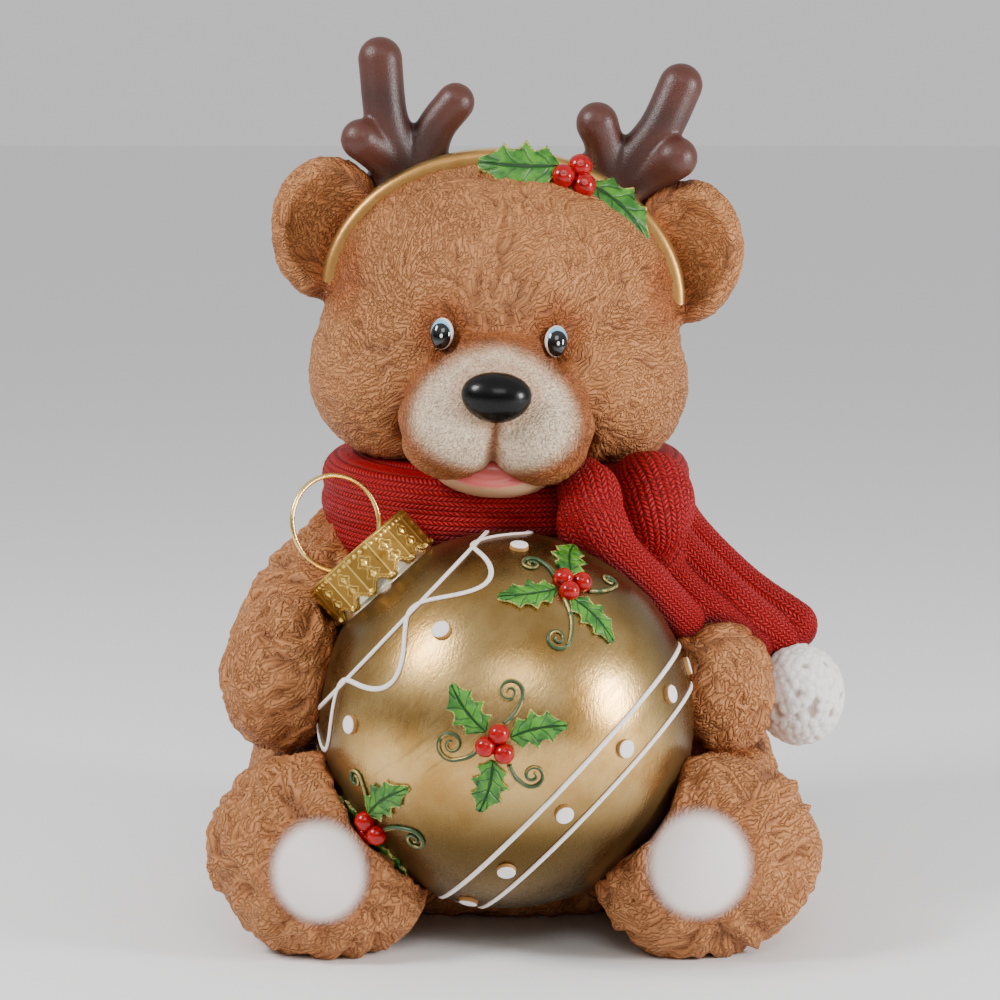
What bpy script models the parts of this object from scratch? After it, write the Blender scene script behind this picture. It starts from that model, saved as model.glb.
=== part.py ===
"""Seated teddy bear hugging a large gold bauble, a hollow resin Christmas figurine.

The bear, its scarf, the antler headband and the bauble are one casting. The bauble's
stamped metal cap and the wire ring through it are pieces of their own.
Units are metres, +Z is up, -Y is the front, and the floor is z = 0.
"""

import math
import random

import bmesh
import bpy
import numpy as np
from mathutils import Matrix, Vector
from mathutils.bvhtree import BVHTree
from mathutils.kdtree import KDTree

# Driving sizes
FIGURE_HEIGHT = 0.445
BALL_RADIUS = 0.092
BALL_CLEARANCE = 0.0166
BALL_BACK = 0.008
CAP_LEAN = math.radians(42.0)
CAP_SET_BACK = math.radians(6.0)
CAP_RADIUS = 0.0304
CAP_WALL = 0.0014
CAP_RISE = 0.0230
CAP_SCALLOPS = 14
CAP_SCALLOP_DEPTH = 0.0045
CAP_ROOM = 0.0012
FIT_GAP = 0.0003
NECK_ABOVE_BALL = 0.0105
RING_RADIUS = 0.0235
RING_WIRE_RADIUS = 0.0012
RING_HOLE_SPREAD = 0.0157
RING_HOLE_CLEARANCE = 0.0008
RING_TURN = math.radians(128.0)
RING_LEAN = math.radians(14.0)
HEADBAND_WIDTH = 0.016
HEADBAND_THICKNESS = 0.009
LEAF_THICKNESS = 0.0022
BERRY_RADIUS = 0.0049
HEADBAND_BERRY_RADIUS = 0.0063

# The free form of the bear is written in shares of its height
U = FIGURE_HEIGHT / 445.0
HEAD_ROLL = math.radians(3.7)
HEAD_CENTRE = Vector((1.0, 0.0, 298.0)) * U
FUR_SEED = 11
MERGE_DISTANCE = 0.000005
SKIN_FACES = 4600
SCARF_FACES = 1300
ANTLER_FACES = 300
FIGURE_FACES = 6000

BALL_CENTRE = Vector((3.0 * U, -BALL_RADIUS - BALL_BACK, BALL_RADIUS + BALL_CLEARANCE))
CAP_AXIS = Vector((
    -math.sin(CAP_LEAN) * math.cos(CAP_SET_BACK),
    math.sin(CAP_SET_BACK),
    math.cos(CAP_LEAN) * math.cos(CAP_SET_BACK),
))

# Rows of x, y, z and radius, in shares of the height
LEFT_LEG = [(-72, 10, 57, 59), (-83, -50, 46, 49), (-87, -90, 43, 45)]
RIGHT_LEG = [(84, 10, 57, 59), (96, -50, 46, 50), (100, -90, 43, 45)]
LEFT_ARM = [(-57, 8, 184, 33), (-78, -8, 168, 31), (-97, -38, 151, 31)]
RIGHT_ARM = [(66, 10, 184, 34), (92, -4, 154, 33), (106, -32, 128, 32)]
ANTLER_MAIN_LEFT = [(-50, 9, 62, 15), (-60, 9, 80, 13.4), (-66.5, 8, 100, 11.6), (-71, 8, 128.5, 11.6)]
ANTLER_INNER_LEFT = [(-48, 9, 70, 15), (-41, 8, 94, 10.4), (-31, 8, 109, 10.2)]
ANTLER_OUTER_LEFT = [(-56, 8, 70, 14), (-66, 4, 80, 12), (-78, 0, 87, 10.8)]
ANTLER_MAIN_RIGHT = [(50, 9, 62, 14), (62, 9, 82, 12.6), (75, 8, 102, 11.6), (84, 8, 125, 11.6)]
ANTLER_INNER_RIGHT = [(52, 9, 68, 14), (47, 8, 92, 10.4), (42.5, 8, 103, 11.2)]
ANTLER_OUTER_RIGHT = [(58, 8, 68, 14), (72, 4, 80, 11.6), (84, 0, 88, 11.2)]
SCARF_FLAP = [(40, -84, 224, 13), (46, -93, 208, 15), (56, -92, 190, 13), (74, -84, 171, 12), (92, -74, 153, 10)]
SCARF_LOBE = [(72, -60, 230, 16), (78, -72, 212, 19), (78, -70, 196, 13), (72, -66, 186, 9)]
SCARF_TAIL = [
    [(82, -30, 208, 14), (96, -24, 188, 13), (123, -26, 160, 14), (151, -34, 142, 13)],
    [(80, -45, 196, 12), (97, -46, 178, 11), (120, -48, 152, 13), (142, -46, 132, 14)],
    [(74, -56, 188, 11), (90, -60, 168, 10), (112, -62, 148, 10), (136, -58, 124, 12)],
]
POMPOM = (151.5, -48, 108, 23)


def collection_object(name: str, mesh: bpy.types.Mesh) -> bpy.types.Object:
    """Links a mesh to the scene as a named object and returns it."""
    obj = bpy.data.objects.new(name, mesh)
    bpy.context.scene.collection.objects.link(obj)
    return obj


def object_from(form: bmesh.types.BMesh, name: str) -> bpy.types.Object:
    """Turns a BMesh into a linked object of outward triangles."""
    bmesh.ops.triangulate(form, faces=form.faces)
    bmesh.ops.recalc_face_normals(form, faces=form.faces)
    mesh = bpy.data.meshes.new(name)
    form.to_mesh(mesh)
    form.free()
    return collection_object(name, mesh)


def settle_modifiers(obj: bpy.types.Object) -> None:
    """Replaces an object's mesh by its evaluated mesh and clears its modifiers."""
    depsgraph = bpy.context.evaluated_depsgraph_get()
    mesh = bpy.data.meshes.new_from_object(obj.evaluated_get(depsgraph))
    obj.modifiers.clear()
    obj.data = mesh


def unite(target: bpy.types.Object, others: list) -> None:
    """Fuses other objects into the target with exact Booleans."""
    for other in others:
        union = target.modifiers.new("union", "BOOLEAN")
        union.operation = "UNION"
        union.solver = "EXACT"
        union.object = other
        settle_modifiers(target)
        mend(target)
        bpy.data.objects.remove(other)


def mend(obj: bpy.types.Object) -> None:
    """Closes pinholes that a Boolean leaves and drops loose crumbs of surface."""
    form = bmesh.new()
    form.from_mesh(obj.data)
    bmesh.ops.remove_doubles(form, verts=form.verts, dist=MERGE_DISTANCE)
    bmesh.ops.dissolve_degenerate(form, edges=form.edges, dist=MERGE_DISTANCE)
    bmesh.ops.holes_fill(form, edges=form.edges, sides=6)
    bmesh.ops.triangulate(form, faces=form.faces)
    crumbs = set(form.verts) - largest_body(form)
    bmesh.ops.delete(form, geom=list(crumbs), context="VERTS")
    form.to_mesh(obj.data)
    form.free()


def largest_body(form: bmesh.types.BMesh) -> set:
    """Vertices of the connected body with the most vertices."""
    left = set(form.verts)
    best = set()
    while left:
        body = {left.pop()}
        edge = list(body)
        while edge:
            vertex = edge.pop()
            for link in vertex.link_edges:
                other = link.other_vert(vertex)
                if other in left:
                    left.remove(other)
                    body.add(other)
                    edge.append(other)
        best = max(best, body, key=len)
    return best


def cut(target: bpy.types.Object, cutter: bpy.types.Object) -> None:
    """Takes a cutter out of the target with an exact Boolean."""
    difference = target.modifiers.new("cut", "BOOLEAN")
    difference.operation = "DIFFERENCE"
    difference.solver = "EXACT"
    difference.object = cutter
    settle_modifiers(target)
    bpy.data.objects.remove(cutter)


def head_matrix() -> Matrix:
    """Places a head-local point: the head leans a little to its left."""
    return Matrix.Translation(HEAD_CENTRE) @ Matrix.Rotation(HEAD_ROLL, 4, "Y")


def add_ellipsoid(form, centre, radii, turn=(0.0, 0.0, 0.0), place=Matrix(), detail=3) -> None:
    """Adds an ellipsoid given in shares, turned by degrees about X, Y and Z."""
    rotation = Matrix.Rotation(math.radians(turn[2]), 4, "Z")
    rotation = rotation @ Matrix.Rotation(math.radians(turn[1]), 4, "Y")
    rotation = rotation @ Matrix.Rotation(math.radians(turn[0]), 4, "X")
    size = Matrix.Diagonal((*[r * U for r in radii], 1.0))
    matrix = place @ Matrix.Translation(Vector(centre) * U) @ rotation @ size
    bmesh.ops.create_icosphere(form, subdivisions=detail, radius=1.0, matrix=matrix)


def smooth_route(stations: list, steps: int) -> list:
    """Catmull-Rom points through rows of x, y, z, radius."""
    rows = [np.array(row, float) for row in stations]
    rows = [2 * rows[0] - rows[1]] + rows + [2 * rows[-1] - rows[-2]]
    route = []
    for a, b, c, d in zip(rows, rows[1:], rows[2:], rows[3:]):
        for step in range(steps):
            t = step / steps
            bend = 2 * b + (c - a) * t
            bend = bend + (2 * a - 5 * b + 4 * c - d) * t * t
            bend = bend + (3 * b - a - 3 * c + d) * t**3
            route.append(bend / 2)
    route.append(rows[-2])
    return route


def add_limb(form, stations, place=Matrix(), steps=6) -> None:
    """Adds a row of spheres along a smooth route, which a remesh joins."""
    for x, y, z, radius in smooth_route(stations, steps):
        add_ellipsoid(form, (x, y, z), (radius,) * 3, place=place, detail=2)


def sculpt(form, name, voxel, blur) -> bpy.types.Object:
    """Joins overlapping lumps into one skin and softens its creases."""
    obj = object_from(form, name)
    remesh = obj.modifiers.new("remesh", "REMESH")
    remesh.mode = "VOXEL"
    remesh.voxel_size = voxel
    smooth = obj.modifiers.new("smooth", "SMOOTH")
    smooth.factor = 0.5
    smooth.iterations = blur
    settle_modifiers(obj)
    return obj


def thin_out(obj, faces) -> None:
    """Reduces a skin to about the given number of triangles."""
    triangles = sum(len(polygon.vertices) - 2 for polygon in obj.data.polygons)
    decimate = obj.modifiers.new("decimate", "DECIMATE")
    decimate.ratio = min(1.0, faces / triangles)
    settle_modifiers(obj)


def fur_flow(point: Vector, normal: Vector, chance: random.Random) -> Vector:
    """Direction in which a lock of fur lies at a point of the skin."""
    local = head_matrix().inverted() @ point
    if local.z > -70 * U and (point - HEAD_CENTRE).length < 130 * U:
        lie = point - head_matrix() @ (Vector((0.0, -100.0, -20.0)) * U)
    else:
        lie = Vector((point.x * 0.4, 0.0, -100.0 * U))
    swing = Matrix.Rotation(math.radians(chance.uniform(-45, 45)), 3, normal)
    lie = swing @ (lie - normal * lie.dot(normal))
    return lie.normalized()


def fur_amount(point: Vector) -> float:
    """How far locks stand up: none on muzzle, soles and ear dishes, most on the limbs."""
    local = head_matrix().inverted() @ point / U
    on_head = (point - HEAD_CENTRE).length < 132 * U and local.z > -88
    if not on_head:
        sole = point.y < -150 * U and point.z < 90 * U
        return 0.0 if sole else 1.0
    muzzle = Vector((local.x / 52, (local.y + 84) / 52, (local.z + 40) / 46)).length
    if muzzle < 1.0 or abs(local.x) > 86 and local.z > 8:
        return 0.15
    return min(0.5, (muzzle - 1.0) * 1.5)


def raise_locks(obj, spacing, height) -> None:
    """Raises overlapping locks of fur all over a skin."""
    chance = random.Random(FUR_SEED)
    mesh = obj.data
    points = [vertex.co.copy() for vertex in mesh.vertices]
    normals = [vertex.normal.copy() for vertex in mesh.vertices]
    order = list(range(len(points)))
    chance.shuffle(order)
    roots = []
    taken = set()
    for index in order:
        cell = tuple(int(c // spacing) for c in points[index])
        if cell not in taken:
            taken.add(cell)
            roots.append((points[index], fur_flow(points[index], normals[index], chance), normals[index]))
    tree = KDTree(len(roots))
    for number, root in enumerate(roots):
        tree.insert(root[0], number)
    tree.balance()
    for index, point in enumerate(points):
        amount = fur_amount(point)
        if amount == 0.0:
            continue
        rise = 0.0
        for _, number, _ in tree.find_n(point, 5):
            start, lie, normal = roots[number]
            offset = (point - start) / spacing
            along = offset.dot(lie)
            across = offset.dot(lie.cross(normal))
            body = 1.0 - (across / 0.62) ** 2
            tip = 1.0 - max(0.0, along - 0.35) * 2.2
            root_end = 0.35 + 0.65 * min(1.0, max(0.0, along + 0.7))
            rise = max(rise, min(body, tip) * root_end)
        mesh.vertices[index].co = point + normals[index] * (rise - 0.45) * height * amount


def ear(side: float) -> bmesh.types.BMesh:
    """One round ear with a thick rim and a dished front."""
    form = bmesh.new()
    place = head_matrix() @ Matrix.Translation(Vector((side * 92.5, 5.0, 40.0)) * U)
    place = place @ Matrix.Rotation(side * math.radians(-10), 4, "Z")
    bmesh.ops.create_icosphere(form, subdivisions=5, radius=1.0)
    for vertex in form.verts:
        x, y, z = vertex.co
        reach = math.hypot(x * 1.02, z)
        if y < 0:
            dish = max(0.0, 1.0 - (reach / 0.74) ** 2)
            y = y * (0.9 if reach > 0.7 else 1.0) + 1.25 * dish**0.7
        vertex.co = (x * 30 * U, y * 15 * U, z * 37.5 * U)
    bmesh.ops.transform(form, matrix=place, verts=form.verts)
    return form


def merge_forms(form, other) -> None:
    """Copies one BMesh into another."""
    mesh = bpy.data.meshes.new("merge")
    other.to_mesh(mesh)
    other.free()
    form.from_mesh(mesh)
    bpy.data.meshes.remove(mesh)


def paw_station(direction: Vector, reach: float) -> Vector:
    """Centre of a paw that presses on the bauble, in shares."""
    return (BALL_CENTRE + direction.normalized() * (BALL_RADIUS + reach * U)) / U


def bear_skin() -> bpy.types.Object:
    """Head, ears, torso, arms and legs as one furry skin, cut flat below."""
    form = bmesh.new()
    head = head_matrix()
    add_ellipsoid(form, (5, 14, 62), (112, 88, 78))
    add_ellipsoid(form, (4, 14, 130), (94, 76, 78))
    add_ellipsoid(form, (3, 8, 180), (84, 60, 44))
    add_ellipsoid(form, (3, 4, 214), (64, 58, 40))
    for leg in (LEFT_LEG, RIGHT_LEG):
        add_limb(form, leg)
    add_ellipsoid(form, (-87, -126, 46), (55, 36, 48), (-4, 20, -8))
    add_ellipsoid(form, (100.5, -126, 46), (55, 36, 48), (-4, -20, 8))
    left_paw = paw_station(Vector((-111.0, 15.0, 21.0)), 20.5)
    right_paw = paw_station(Vector((104.0, 36.0, 8.5)), 17.5)
    add_limb(form, LEFT_ARM + [(*left_paw, 30)])
    add_limb(form, RIGHT_ARM + [(*right_paw, 30)])
    add_ellipsoid(form, left_paw, (30.5, 38, 38), (0, 8, 0))
    add_ellipsoid(form, right_paw, (31, 38, 35), (0, -6, 0))
    add_ellipsoid(form, (0, 6, 12), (88, 82, 68), place=head)
    add_ellipsoid(form, (0, 4, -10), (93.5, 78, 58), place=head)
    add_ellipsoid(form, (-44, -6, -29), (53.5, 66, 49), place=head)
    add_ellipsoid(form, (44.5, -6, -29), (53.5, 66, 49), place=head)
    add_ellipsoid(form, (0, 0, -38), (78, 70, 49), place=head)
    add_ellipsoid(form, (0, -72, -35), (45, 40, 34), place=head)
    add_ellipsoid(form, (-22, -87, -48), (27, 27, 26), (0, 20, 0), place=head)
    add_ellipsoid(form, (22, -87, -48), (27, 27, 26), (0, -20, 0), place=head)
    add_ellipsoid(form, (0, -78, -71), (27, 22, 15), place=head)
    for side in (-1.0, 1.0):
        merge_forms(form, ear(side))
    skin = sculpt(form, "skin", 3.2 * U, 10)
    raise_locks(skin, 20.0 * U, 6.0 * U)
    mouth = bmesh.new()
    add_ellipsoid(mouth, (0, -108, -70), (20, 17, 5.5), (-14, 0, 0), place=head)
    cut(skin, object_from(mouth, "mouth"))
    thin_out(skin, SKIN_FACES)
    return skin


def cut_flat_below(obj) -> None:
    """Cuts the underside flat at floor level, so the figure rests on it."""
    form = bmesh.new()
    bmesh.ops.create_cube(form, size=FIGURE_HEIGHT)
    bmesh.ops.translate(form, verts=form.verts, vec=(0.0, 0.0, -FIGURE_HEIGHT / 2))
    bmesh.ops.scale(form, vec=(1.5, 1.5, 1.0), verts=form.verts)
    cut(obj, object_from(form, "floor"))


def surface_point(tree: BVHTree, x: float, z: float) -> tuple:
    """Front point and normal of the head at a head-local x and z in shares."""
    head = head_matrix()
    start = head @ (Vector((x, -300.0, z)) * U)
    point, normal, _, _ = tree.ray_cast(start, Vector((0.0, 1.0, 0.0)))
    return point, normal


def egg(name, place, radii, rings=8, segments=12) -> bpy.types.Object:
    """A small ellipsoid with few faces for an eye, nose, berry or bead."""
    form = bmesh.new()
    matrix = place @ Matrix.Diagonal((*radii, 1.0))
    bmesh.ops.create_uvsphere(form, u_segments=segments, v_segments=rings, radius=1.0, matrix=matrix)
    return object_from(form, name)


def aimed(point: Vector, outward: Vector, spin=0.0) -> Matrix:
    """A frame at a point with its Z along a direction, spun about it."""
    turn = outward.to_track_quat("Z", "Y").to_matrix().to_4x4()
    return Matrix.Translation(point) @ turn @ Matrix.Rotation(spin, 4, "Z")


def tangent_frame(point: Vector, outward: Vector) -> Matrix:
    """A frame with Z outward, Y as near to up as the surface allows and X to the side."""
    up = Vector((0.0, 0.0, 1.0))
    y_axis = (up - outward * up.dot(outward)).normalized()
    x_axis = y_axis.cross(outward)
    frame = Matrix((x_axis, y_axis, outward)).transposed().to_4x4()
    return Matrix.Translation(point) @ frame


def holly_leaf(name, base, tip, width, wrap) -> bpy.types.Object:
    """A spiny domed leaf between two points of a flat layout that wrap() lays on a surface."""
    form = bmesh.new()
    base = Vector(base)
    run = Vector(tip) - base
    side = Vector((-run.y, run.x)).normalized()
    spines = [(0.0, 0.10), (0.20, 0.66), (0.31, 0.42), (0.52, 1.0), (0.64, 0.50), (0.82, 0.60)]
    rows = []
    for along, spread in spines:
        middle = base + run * along
        half = side * spread * width / 2
        edges = [middle - half, middle, middle + half]
        heights = [0.4, 1.0, 0.4]
        top = [form.verts.new(wrap(p, LEAF_THICKNESS * h)) for p, h in zip(edges, heights)]
        below = [form.verts.new(wrap(p, -LEAF_THICKNESS * 1.5)) for p in (edges[0], edges[2])]
        rows.append((top, below))
    tip_top = form.verts.new(wrap(base + run, LEAF_THICKNESS * 0.5))
    tip_below = form.verts.new(wrap(base + run, -LEAF_THICKNESS * 1.5))
    for (top_a, low_a), (top_b, low_b) in zip(rows, rows[1:]):
        form.faces.new((top_a[0], top_a[1], top_b[1], top_b[0]))
        form.faces.new((top_a[1], top_a[2], top_b[2], top_b[1]))
        form.faces.new((low_a[1], low_a[0], low_b[0], low_b[1]))
        form.faces.new((top_a[0], top_b[0], low_b[0], low_a[0]))
        form.faces.new((top_a[2], low_a[1], low_b[1], top_b[2]))
    top, low = rows[-1]
    form.faces.new((top[0], top[1], tip_top))
    form.faces.new((top[1], top[2], tip_top))
    form.faces.new((low[1], low[0], tip_below))
    form.faces.new((top[0], tip_top, tip_below, low[0]))
    form.faces.new((top[2], low[1], tip_below, tip_top))
    top, low = rows[0]
    form.faces.new((top[0], low[0], low[1], top[2], top[1]))
    return object_from(form, name)


def ball_wrap(frame: Matrix):
    """Lays a flat layout point on the bauble around a sprig's frame."""
    def wrap(point, height):
        flat = Vector((point[0], point[1], 0.0))
        angle = flat.length / BALL_RADIUS
        heading = flat.normalized() if flat.length > 0 else Vector((1.0, 0.0, 0.0))
        reach = (BALL_RADIUS + height)
        local = heading * math.sin(angle) * reach
        local.z = math.cos(angle) * reach - BALL_RADIUS
        return frame @ local
    return wrap


def head_wrap(frame: Matrix, bend: float):
    """Lays a flat layout point on a gently curved patch of the head."""
    def wrap(point, height):
        drop = (point[0] ** 2 + point[1] ** 2) / (2 * bend)
        return frame @ Vector((point[0], point[1], height - drop))
    return wrap


def polar(angle: float, distance: float) -> Vector:
    """A flat layout point from degrees and a distance in metres."""
    return Vector((math.cos(math.radians(angle)), math.sin(math.radians(angle)))) * distance


# Longitude and latitude on the bauble, leaf angles with lengths, and berry angles
SPRIGS = [
    (33.9, 56.1, [(53, 0.040), (176, 0.037), (-76, 0.036)], [155, -24, -110]),
    (-3.0, 5.3, [(128, 0.034), (14, 0.034), (-103, 0.034)], [74, -167, -48]),
    (-51.6, -26.1, [(38, 0.036), (170, 0.032), (-90, 0.036)], [100, -34, -150]),
]


def ball_point(longitude: float, latitude: float) -> Vector:
    """Unit direction on the bauble: longitude from the front, latitude from the middle."""
    lon = math.radians(longitude)
    lat = math.radians(latitude)
    return Vector((math.sin(lon) * math.cos(lat), -math.cos(lon) * math.cos(lat), math.sin(lat)))


def bauble() -> bpy.types.Object:
    """The ball, its neck under the cap, and three sprigs of holly on its front."""
    form = bmesh.new()
    bmesh.ops.create_uvsphere(
        form, u_segments=30, v_segments=17, radius=BALL_RADIUS,
        matrix=aimed(BALL_CENTRE, CAP_AXIS, math.radians(3.0)),
    )
    ball = object_from(form, "ball")
    neck = bmesh.new()
    inner = CAP_RADIUS - CAP_WALL - FIT_GAP
    root = math.sqrt(BALL_RADIUS**2 - inner**2) - 0.004
    top = math.sqrt(BALL_RADIUS**2 - inner**2) + NECK_ABOVE_BALL
    bmesh.ops.create_cone(
        neck, cap_ends=True, cap_tris=False, segments=4 * CAP_SCALLOPS,
        radius1=inner, radius2=inner, depth=top - root,
        matrix=aimed(BALL_CENTRE + CAP_AXIS * (root + top) / 2, CAP_AXIS),
    )
    pieces = [object_from(neck, "neck")]
    for longitude, latitude, leaves, berries in SPRIGS:
        outward = ball_point(longitude, latitude)
        frame = tangent_frame(BALL_CENTRE + outward * BALL_RADIUS, outward)
        wrap = ball_wrap(frame)
        for angle, length in leaves:
            pieces.append(holly_leaf("leaf", polar(angle, 0.005), polar(angle, length), 0.019, wrap))
        for angle in berries:
            centre = wrap(polar(angle, BERRY_RADIUS * 1.08), BERRY_RADIUS * 0.7)
            pieces.append(egg("berry", aimed(centre, outward), (BERRY_RADIUS,) * 3, 4, 7))
    unite(ball, pieces)
    return ball


def headband_point(angle: float) -> Vector:
    """Middle of the headband's arch over the head, in head-local shares; 0 is the top."""
    return Vector((88.5 * math.sin(angle), 6.0, 10.0 + 71.0 * math.cos(angle)))


def headband() -> bpy.types.Object:
    """A bevelled band over the head from ear to ear."""
    form = bmesh.new()
    head = head_matrix()
    half = HEADBAND_WIDTH / 2
    profile = [
        (-half, -HEADBAND_THICKNESS), (-half, HEADBAND_THICKNESS * 0.05),
        (-half * 0.55, HEADBAND_THICKNESS * 0.5), (half * 0.55, HEADBAND_THICKNESS * 0.5),
        (half, HEADBAND_THICKNESS * 0.05), (half, -HEADBAND_THICKNESS),
    ]
    rings = []
    steps = 24
    for step in range(steps + 1):
        angle = math.radians(-100 + 200 * step / steps)
        centre = headband_point(angle) * U
        out = Vector((math.sin(angle), 0.0, math.cos(angle)))
        rings.append([form.verts.new(head @ (centre + Vector((0, a, 0)) + out * b)) for a, b in profile])
    count = len(profile)
    for ring, following in zip(rings, rings[1:]):
        for k in range(count):
            nxt = (k + 1) % count
            form.faces.new((ring[k], ring[nxt], following[nxt], following[k]))
    form.faces.new(rings[0])
    form.faces.new(rings[-1])
    return object_from(form, "headband")


def antlers() -> list:
    """Two soft three-pronged antlers that stand on the headband."""
    head = head_matrix()
    made = []
    for tines in (
        (ANTLER_MAIN_LEFT, ANTLER_INNER_LEFT, ANTLER_OUTER_LEFT),
        (ANTLER_MAIN_RIGHT, ANTLER_INNER_RIGHT, ANTLER_OUTER_RIGHT),
    ):
        form = bmesh.new()
        for tine in tines:
            add_limb(form, tine, head, 7)
        side = math.copysign(1.0, tines[0][0][0])
        add_ellipsoid(form, (side * 54, 9, 72), (24, 15, 14), (0, side * 30, 0), place=head)
        antler = sculpt(form, "antler", 1.6 * U, 8)
        thin_out(antler, ANTLER_FACES)
        made.append(antler)
    return made


def headband_holly() -> list:
    """Two leaves and three berries on the headband, right of its middle."""
    head = head_matrix()
    pieces = []
    for angle, tip_angle, length, lift in ((6, 172, 0.043, 2.5), (41, -40, 0.040, -3.0)):
        arch = math.radians(angle)
        out = Vector((math.sin(arch) * 0.8, -1.0, math.cos(arch) * 0.8)).normalized()
        rise = Vector((math.sin(arch), 0.0, math.cos(arch))) * lift * U
        centre = headband_point(arch) * U + rise + Vector((0.0, -HEADBAND_WIDTH * 0.45, 0.0))
        frame = head @ tangent_frame(centre + out * LEAF_THICKNESS, out)
        wrap = head_wrap(frame, 0.075)
        base = -polar(tip_angle, length * 0.45)
        pieces.append(holly_leaf("leaf", base, polar(tip_angle, length * 0.55), 0.026, wrap))
    for x, y, z in ((24.0, -6.0, 80.0), (33.0, -6.5, 82.5), (35.5, -7.5, 73.0)):
        place = head @ Matrix.Translation(Vector((x, y, z)) * U)
        pieces.append(egg("berry", place, (HEADBAND_BERRY_RADIUS,) * 3, 5, 8))
    return pieces


def cap_room() -> bpy.types.Object:
    """The room that the cap needs in the scarf and arm behind it."""
    form = bmesh.new()
    start = BALL_RADIUS * 0.8
    end = cap_top() + CAP_WALL + CAP_ROOM
    bmesh.ops.create_cone(
        form, cap_ends=True, cap_tris=False, segments=2 * CAP_SCALLOPS,
        radius1=CAP_RADIUS + CAP_ROOM, radius2=CAP_RADIUS + CAP_ROOM, depth=end - start,
        matrix=aimed(BALL_CENTRE + CAP_AXIS * (start + end) / 2, CAP_AXIS),
    )
    return object_from(form, "cap_room")


def headdress() -> bpy.types.Object:
    """Headband, antlers and holly as one casting."""
    band = headband()
    unite(band, antlers() + headband_holly())
    return band


def face(skin) -> list:
    """Eyes and nose set on the front of the head."""
    form = bmesh.new()
    form.from_mesh(skin.data)
    tree = BVHTree.FromBMesh(form)
    form.free()
    pieces = []
    for side in (-1.0, 1.0):
        point, _ = surface_point(tree, side * 28.2, -3.6)
        place = Matrix.Translation(point + Vector((0.0, 1.6 * U, 0.0))) @ Matrix.Rotation(HEAD_ROLL, 4, "Y")
        pieces.append(egg("eye", place, (5.9 * U, 4.4 * U, 8.2 * U), 8, 12))
    nose = head_matrix() @ Matrix.Translation(Vector((-0.5, -112.0, -29.0)) * U)
    pieces.append(egg("nose", nose, (16.7 * U, 12.0 * U, 12.2 * U), 10, 16))
    return pieces


def scarf() -> bpy.types.Object:
    """The ribbed wrap round the neck, its knot and its tail with a pompom."""
    form = bmesh.new()
    for drop, radius in ((12.0, 12.0), (-1.0, 12.5), (-14.0, 12.0)):
        ring = []
        for step in range(16):
            angle = math.tau * step / 16
            lift = 5.0 * math.sin(angle)
            ring.append((
                3 + 84 * math.cos(angle), 6 + 80 * math.sin(angle), 205 + drop + lift, radius,
            ))
        add_limb(form, ring + ring[:1], steps=5)
    add_ellipsoid(form, (3, 5, 206), (84, 78, 26))
    add_limb(form, SCARF_FLAP)
    add_limb(form, SCARF_LOBE)
    add_ellipsoid(form, (44, -90, 208), (16, 14, 26), (0, 8, 0))
    add_ellipsoid(form, (77, -66, 212), (20, 20, 25), (0, -10, 0))
    for fold in SCARF_TAIL:
        add_limb(form, fold)
    add_ellipsoid(form, (74, -50, 182), (20, 24, 26))
    cloth = sculpt(form, "scarf", 2.4 * U, 4)
    thin_out(cloth, SCARF_FACES)
    chance = random.Random(FUR_SEED)
    ball = bmesh.new()
    x, y, z, radius = POMPOM
    add_ellipsoid(ball, (x, y, z), (radius, radius, radius * 1.14), detail=3)
    for vertex in ball.verts:
        vertex.co += (vertex.co - Vector((x, y, z)) * U).normalized() * chance.uniform(-1.4, 1.4) * U
    unite(cloth, [object_from(ball, "pompom")])
    return cloth


def ring_frame() -> Matrix:
    """Frame of the wire ring: Z is the ring's axis, X runs between its two holes."""
    plate = BALL_CENTRE + CAP_AXIS * cap_top()
    seat = tangent_frame(plate, CAP_AXIS) @ Matrix.Rotation(RING_TURN, 4, "Z")
    stand = seat @ Matrix.Rotation(math.radians(90) + RING_LEAN, 4, "X")
    rise = math.sqrt(RING_RADIUS**2 - RING_HOLE_SPREAD**2)
    return stand @ Matrix.Translation((0.0, rise, 0.0))


def cap_top() -> float:
    """Distance from the bauble's centre to the middle of the cap's top plate."""
    inner = CAP_RADIUS - CAP_WALL
    return math.sqrt(BALL_RADIUS**2 - inner**2) + CAP_RISE


def ornament_cap() -> bpy.types.Object:
    """A thin cup with a scalloped edge and two holes for the ring."""
    form = bmesh.new()
    segments = 4 * CAP_SCALLOPS
    inner = CAP_RADIUS - CAP_WALL
    skirt = math.sqrt(BALL_RADIUS**2 - inner**2) + FIT_GAP * 3
    top = cap_top() + CAP_WALL / 2
    wave = [0.0, 0.28, 1.0, 0.28]
    loops = [[], [], [], []]
    for index in range(segments):
        angle = math.tau * index / segments
        heading = Vector((math.cos(angle), math.sin(angle), 0.0))
        edge = skirt + CAP_SCALLOP_DEPTH * wave[index % 4]
        for loop, radius, height in (
            (0, inner, edge), (1, CAP_RADIUS, edge), (2, CAP_RADIUS, top), (3, inner, top - CAP_WALL),
        ):
            loops[loop].append(form.verts.new(heading * radius + Vector((0.0, 0.0, height))))
    for index in range(segments):
        nxt = (index + 1) % segments
        for a, b in ((0, 1), (1, 2), (3, 0)):
            form.faces.new((loops[a][index], loops[a][nxt], loops[b][nxt], loops[b][index]))
    form.faces.new(loops[2])
    form.faces.new(loops[3])
    bmesh.ops.recalc_face_normals(form, faces=form.faces)
    bmesh.ops.transform(form, matrix=aimed(BALL_CENTRE, CAP_AXIS), verts=form.verts)
    cap = object_from(form, "ornament_cap")
    wire = torus("clearance", RING_RADIUS, RING_WIRE_RADIUS + RING_HOLE_CLEARANCE, 24, 8)
    cut(cap, wire)
    return cap


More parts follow.
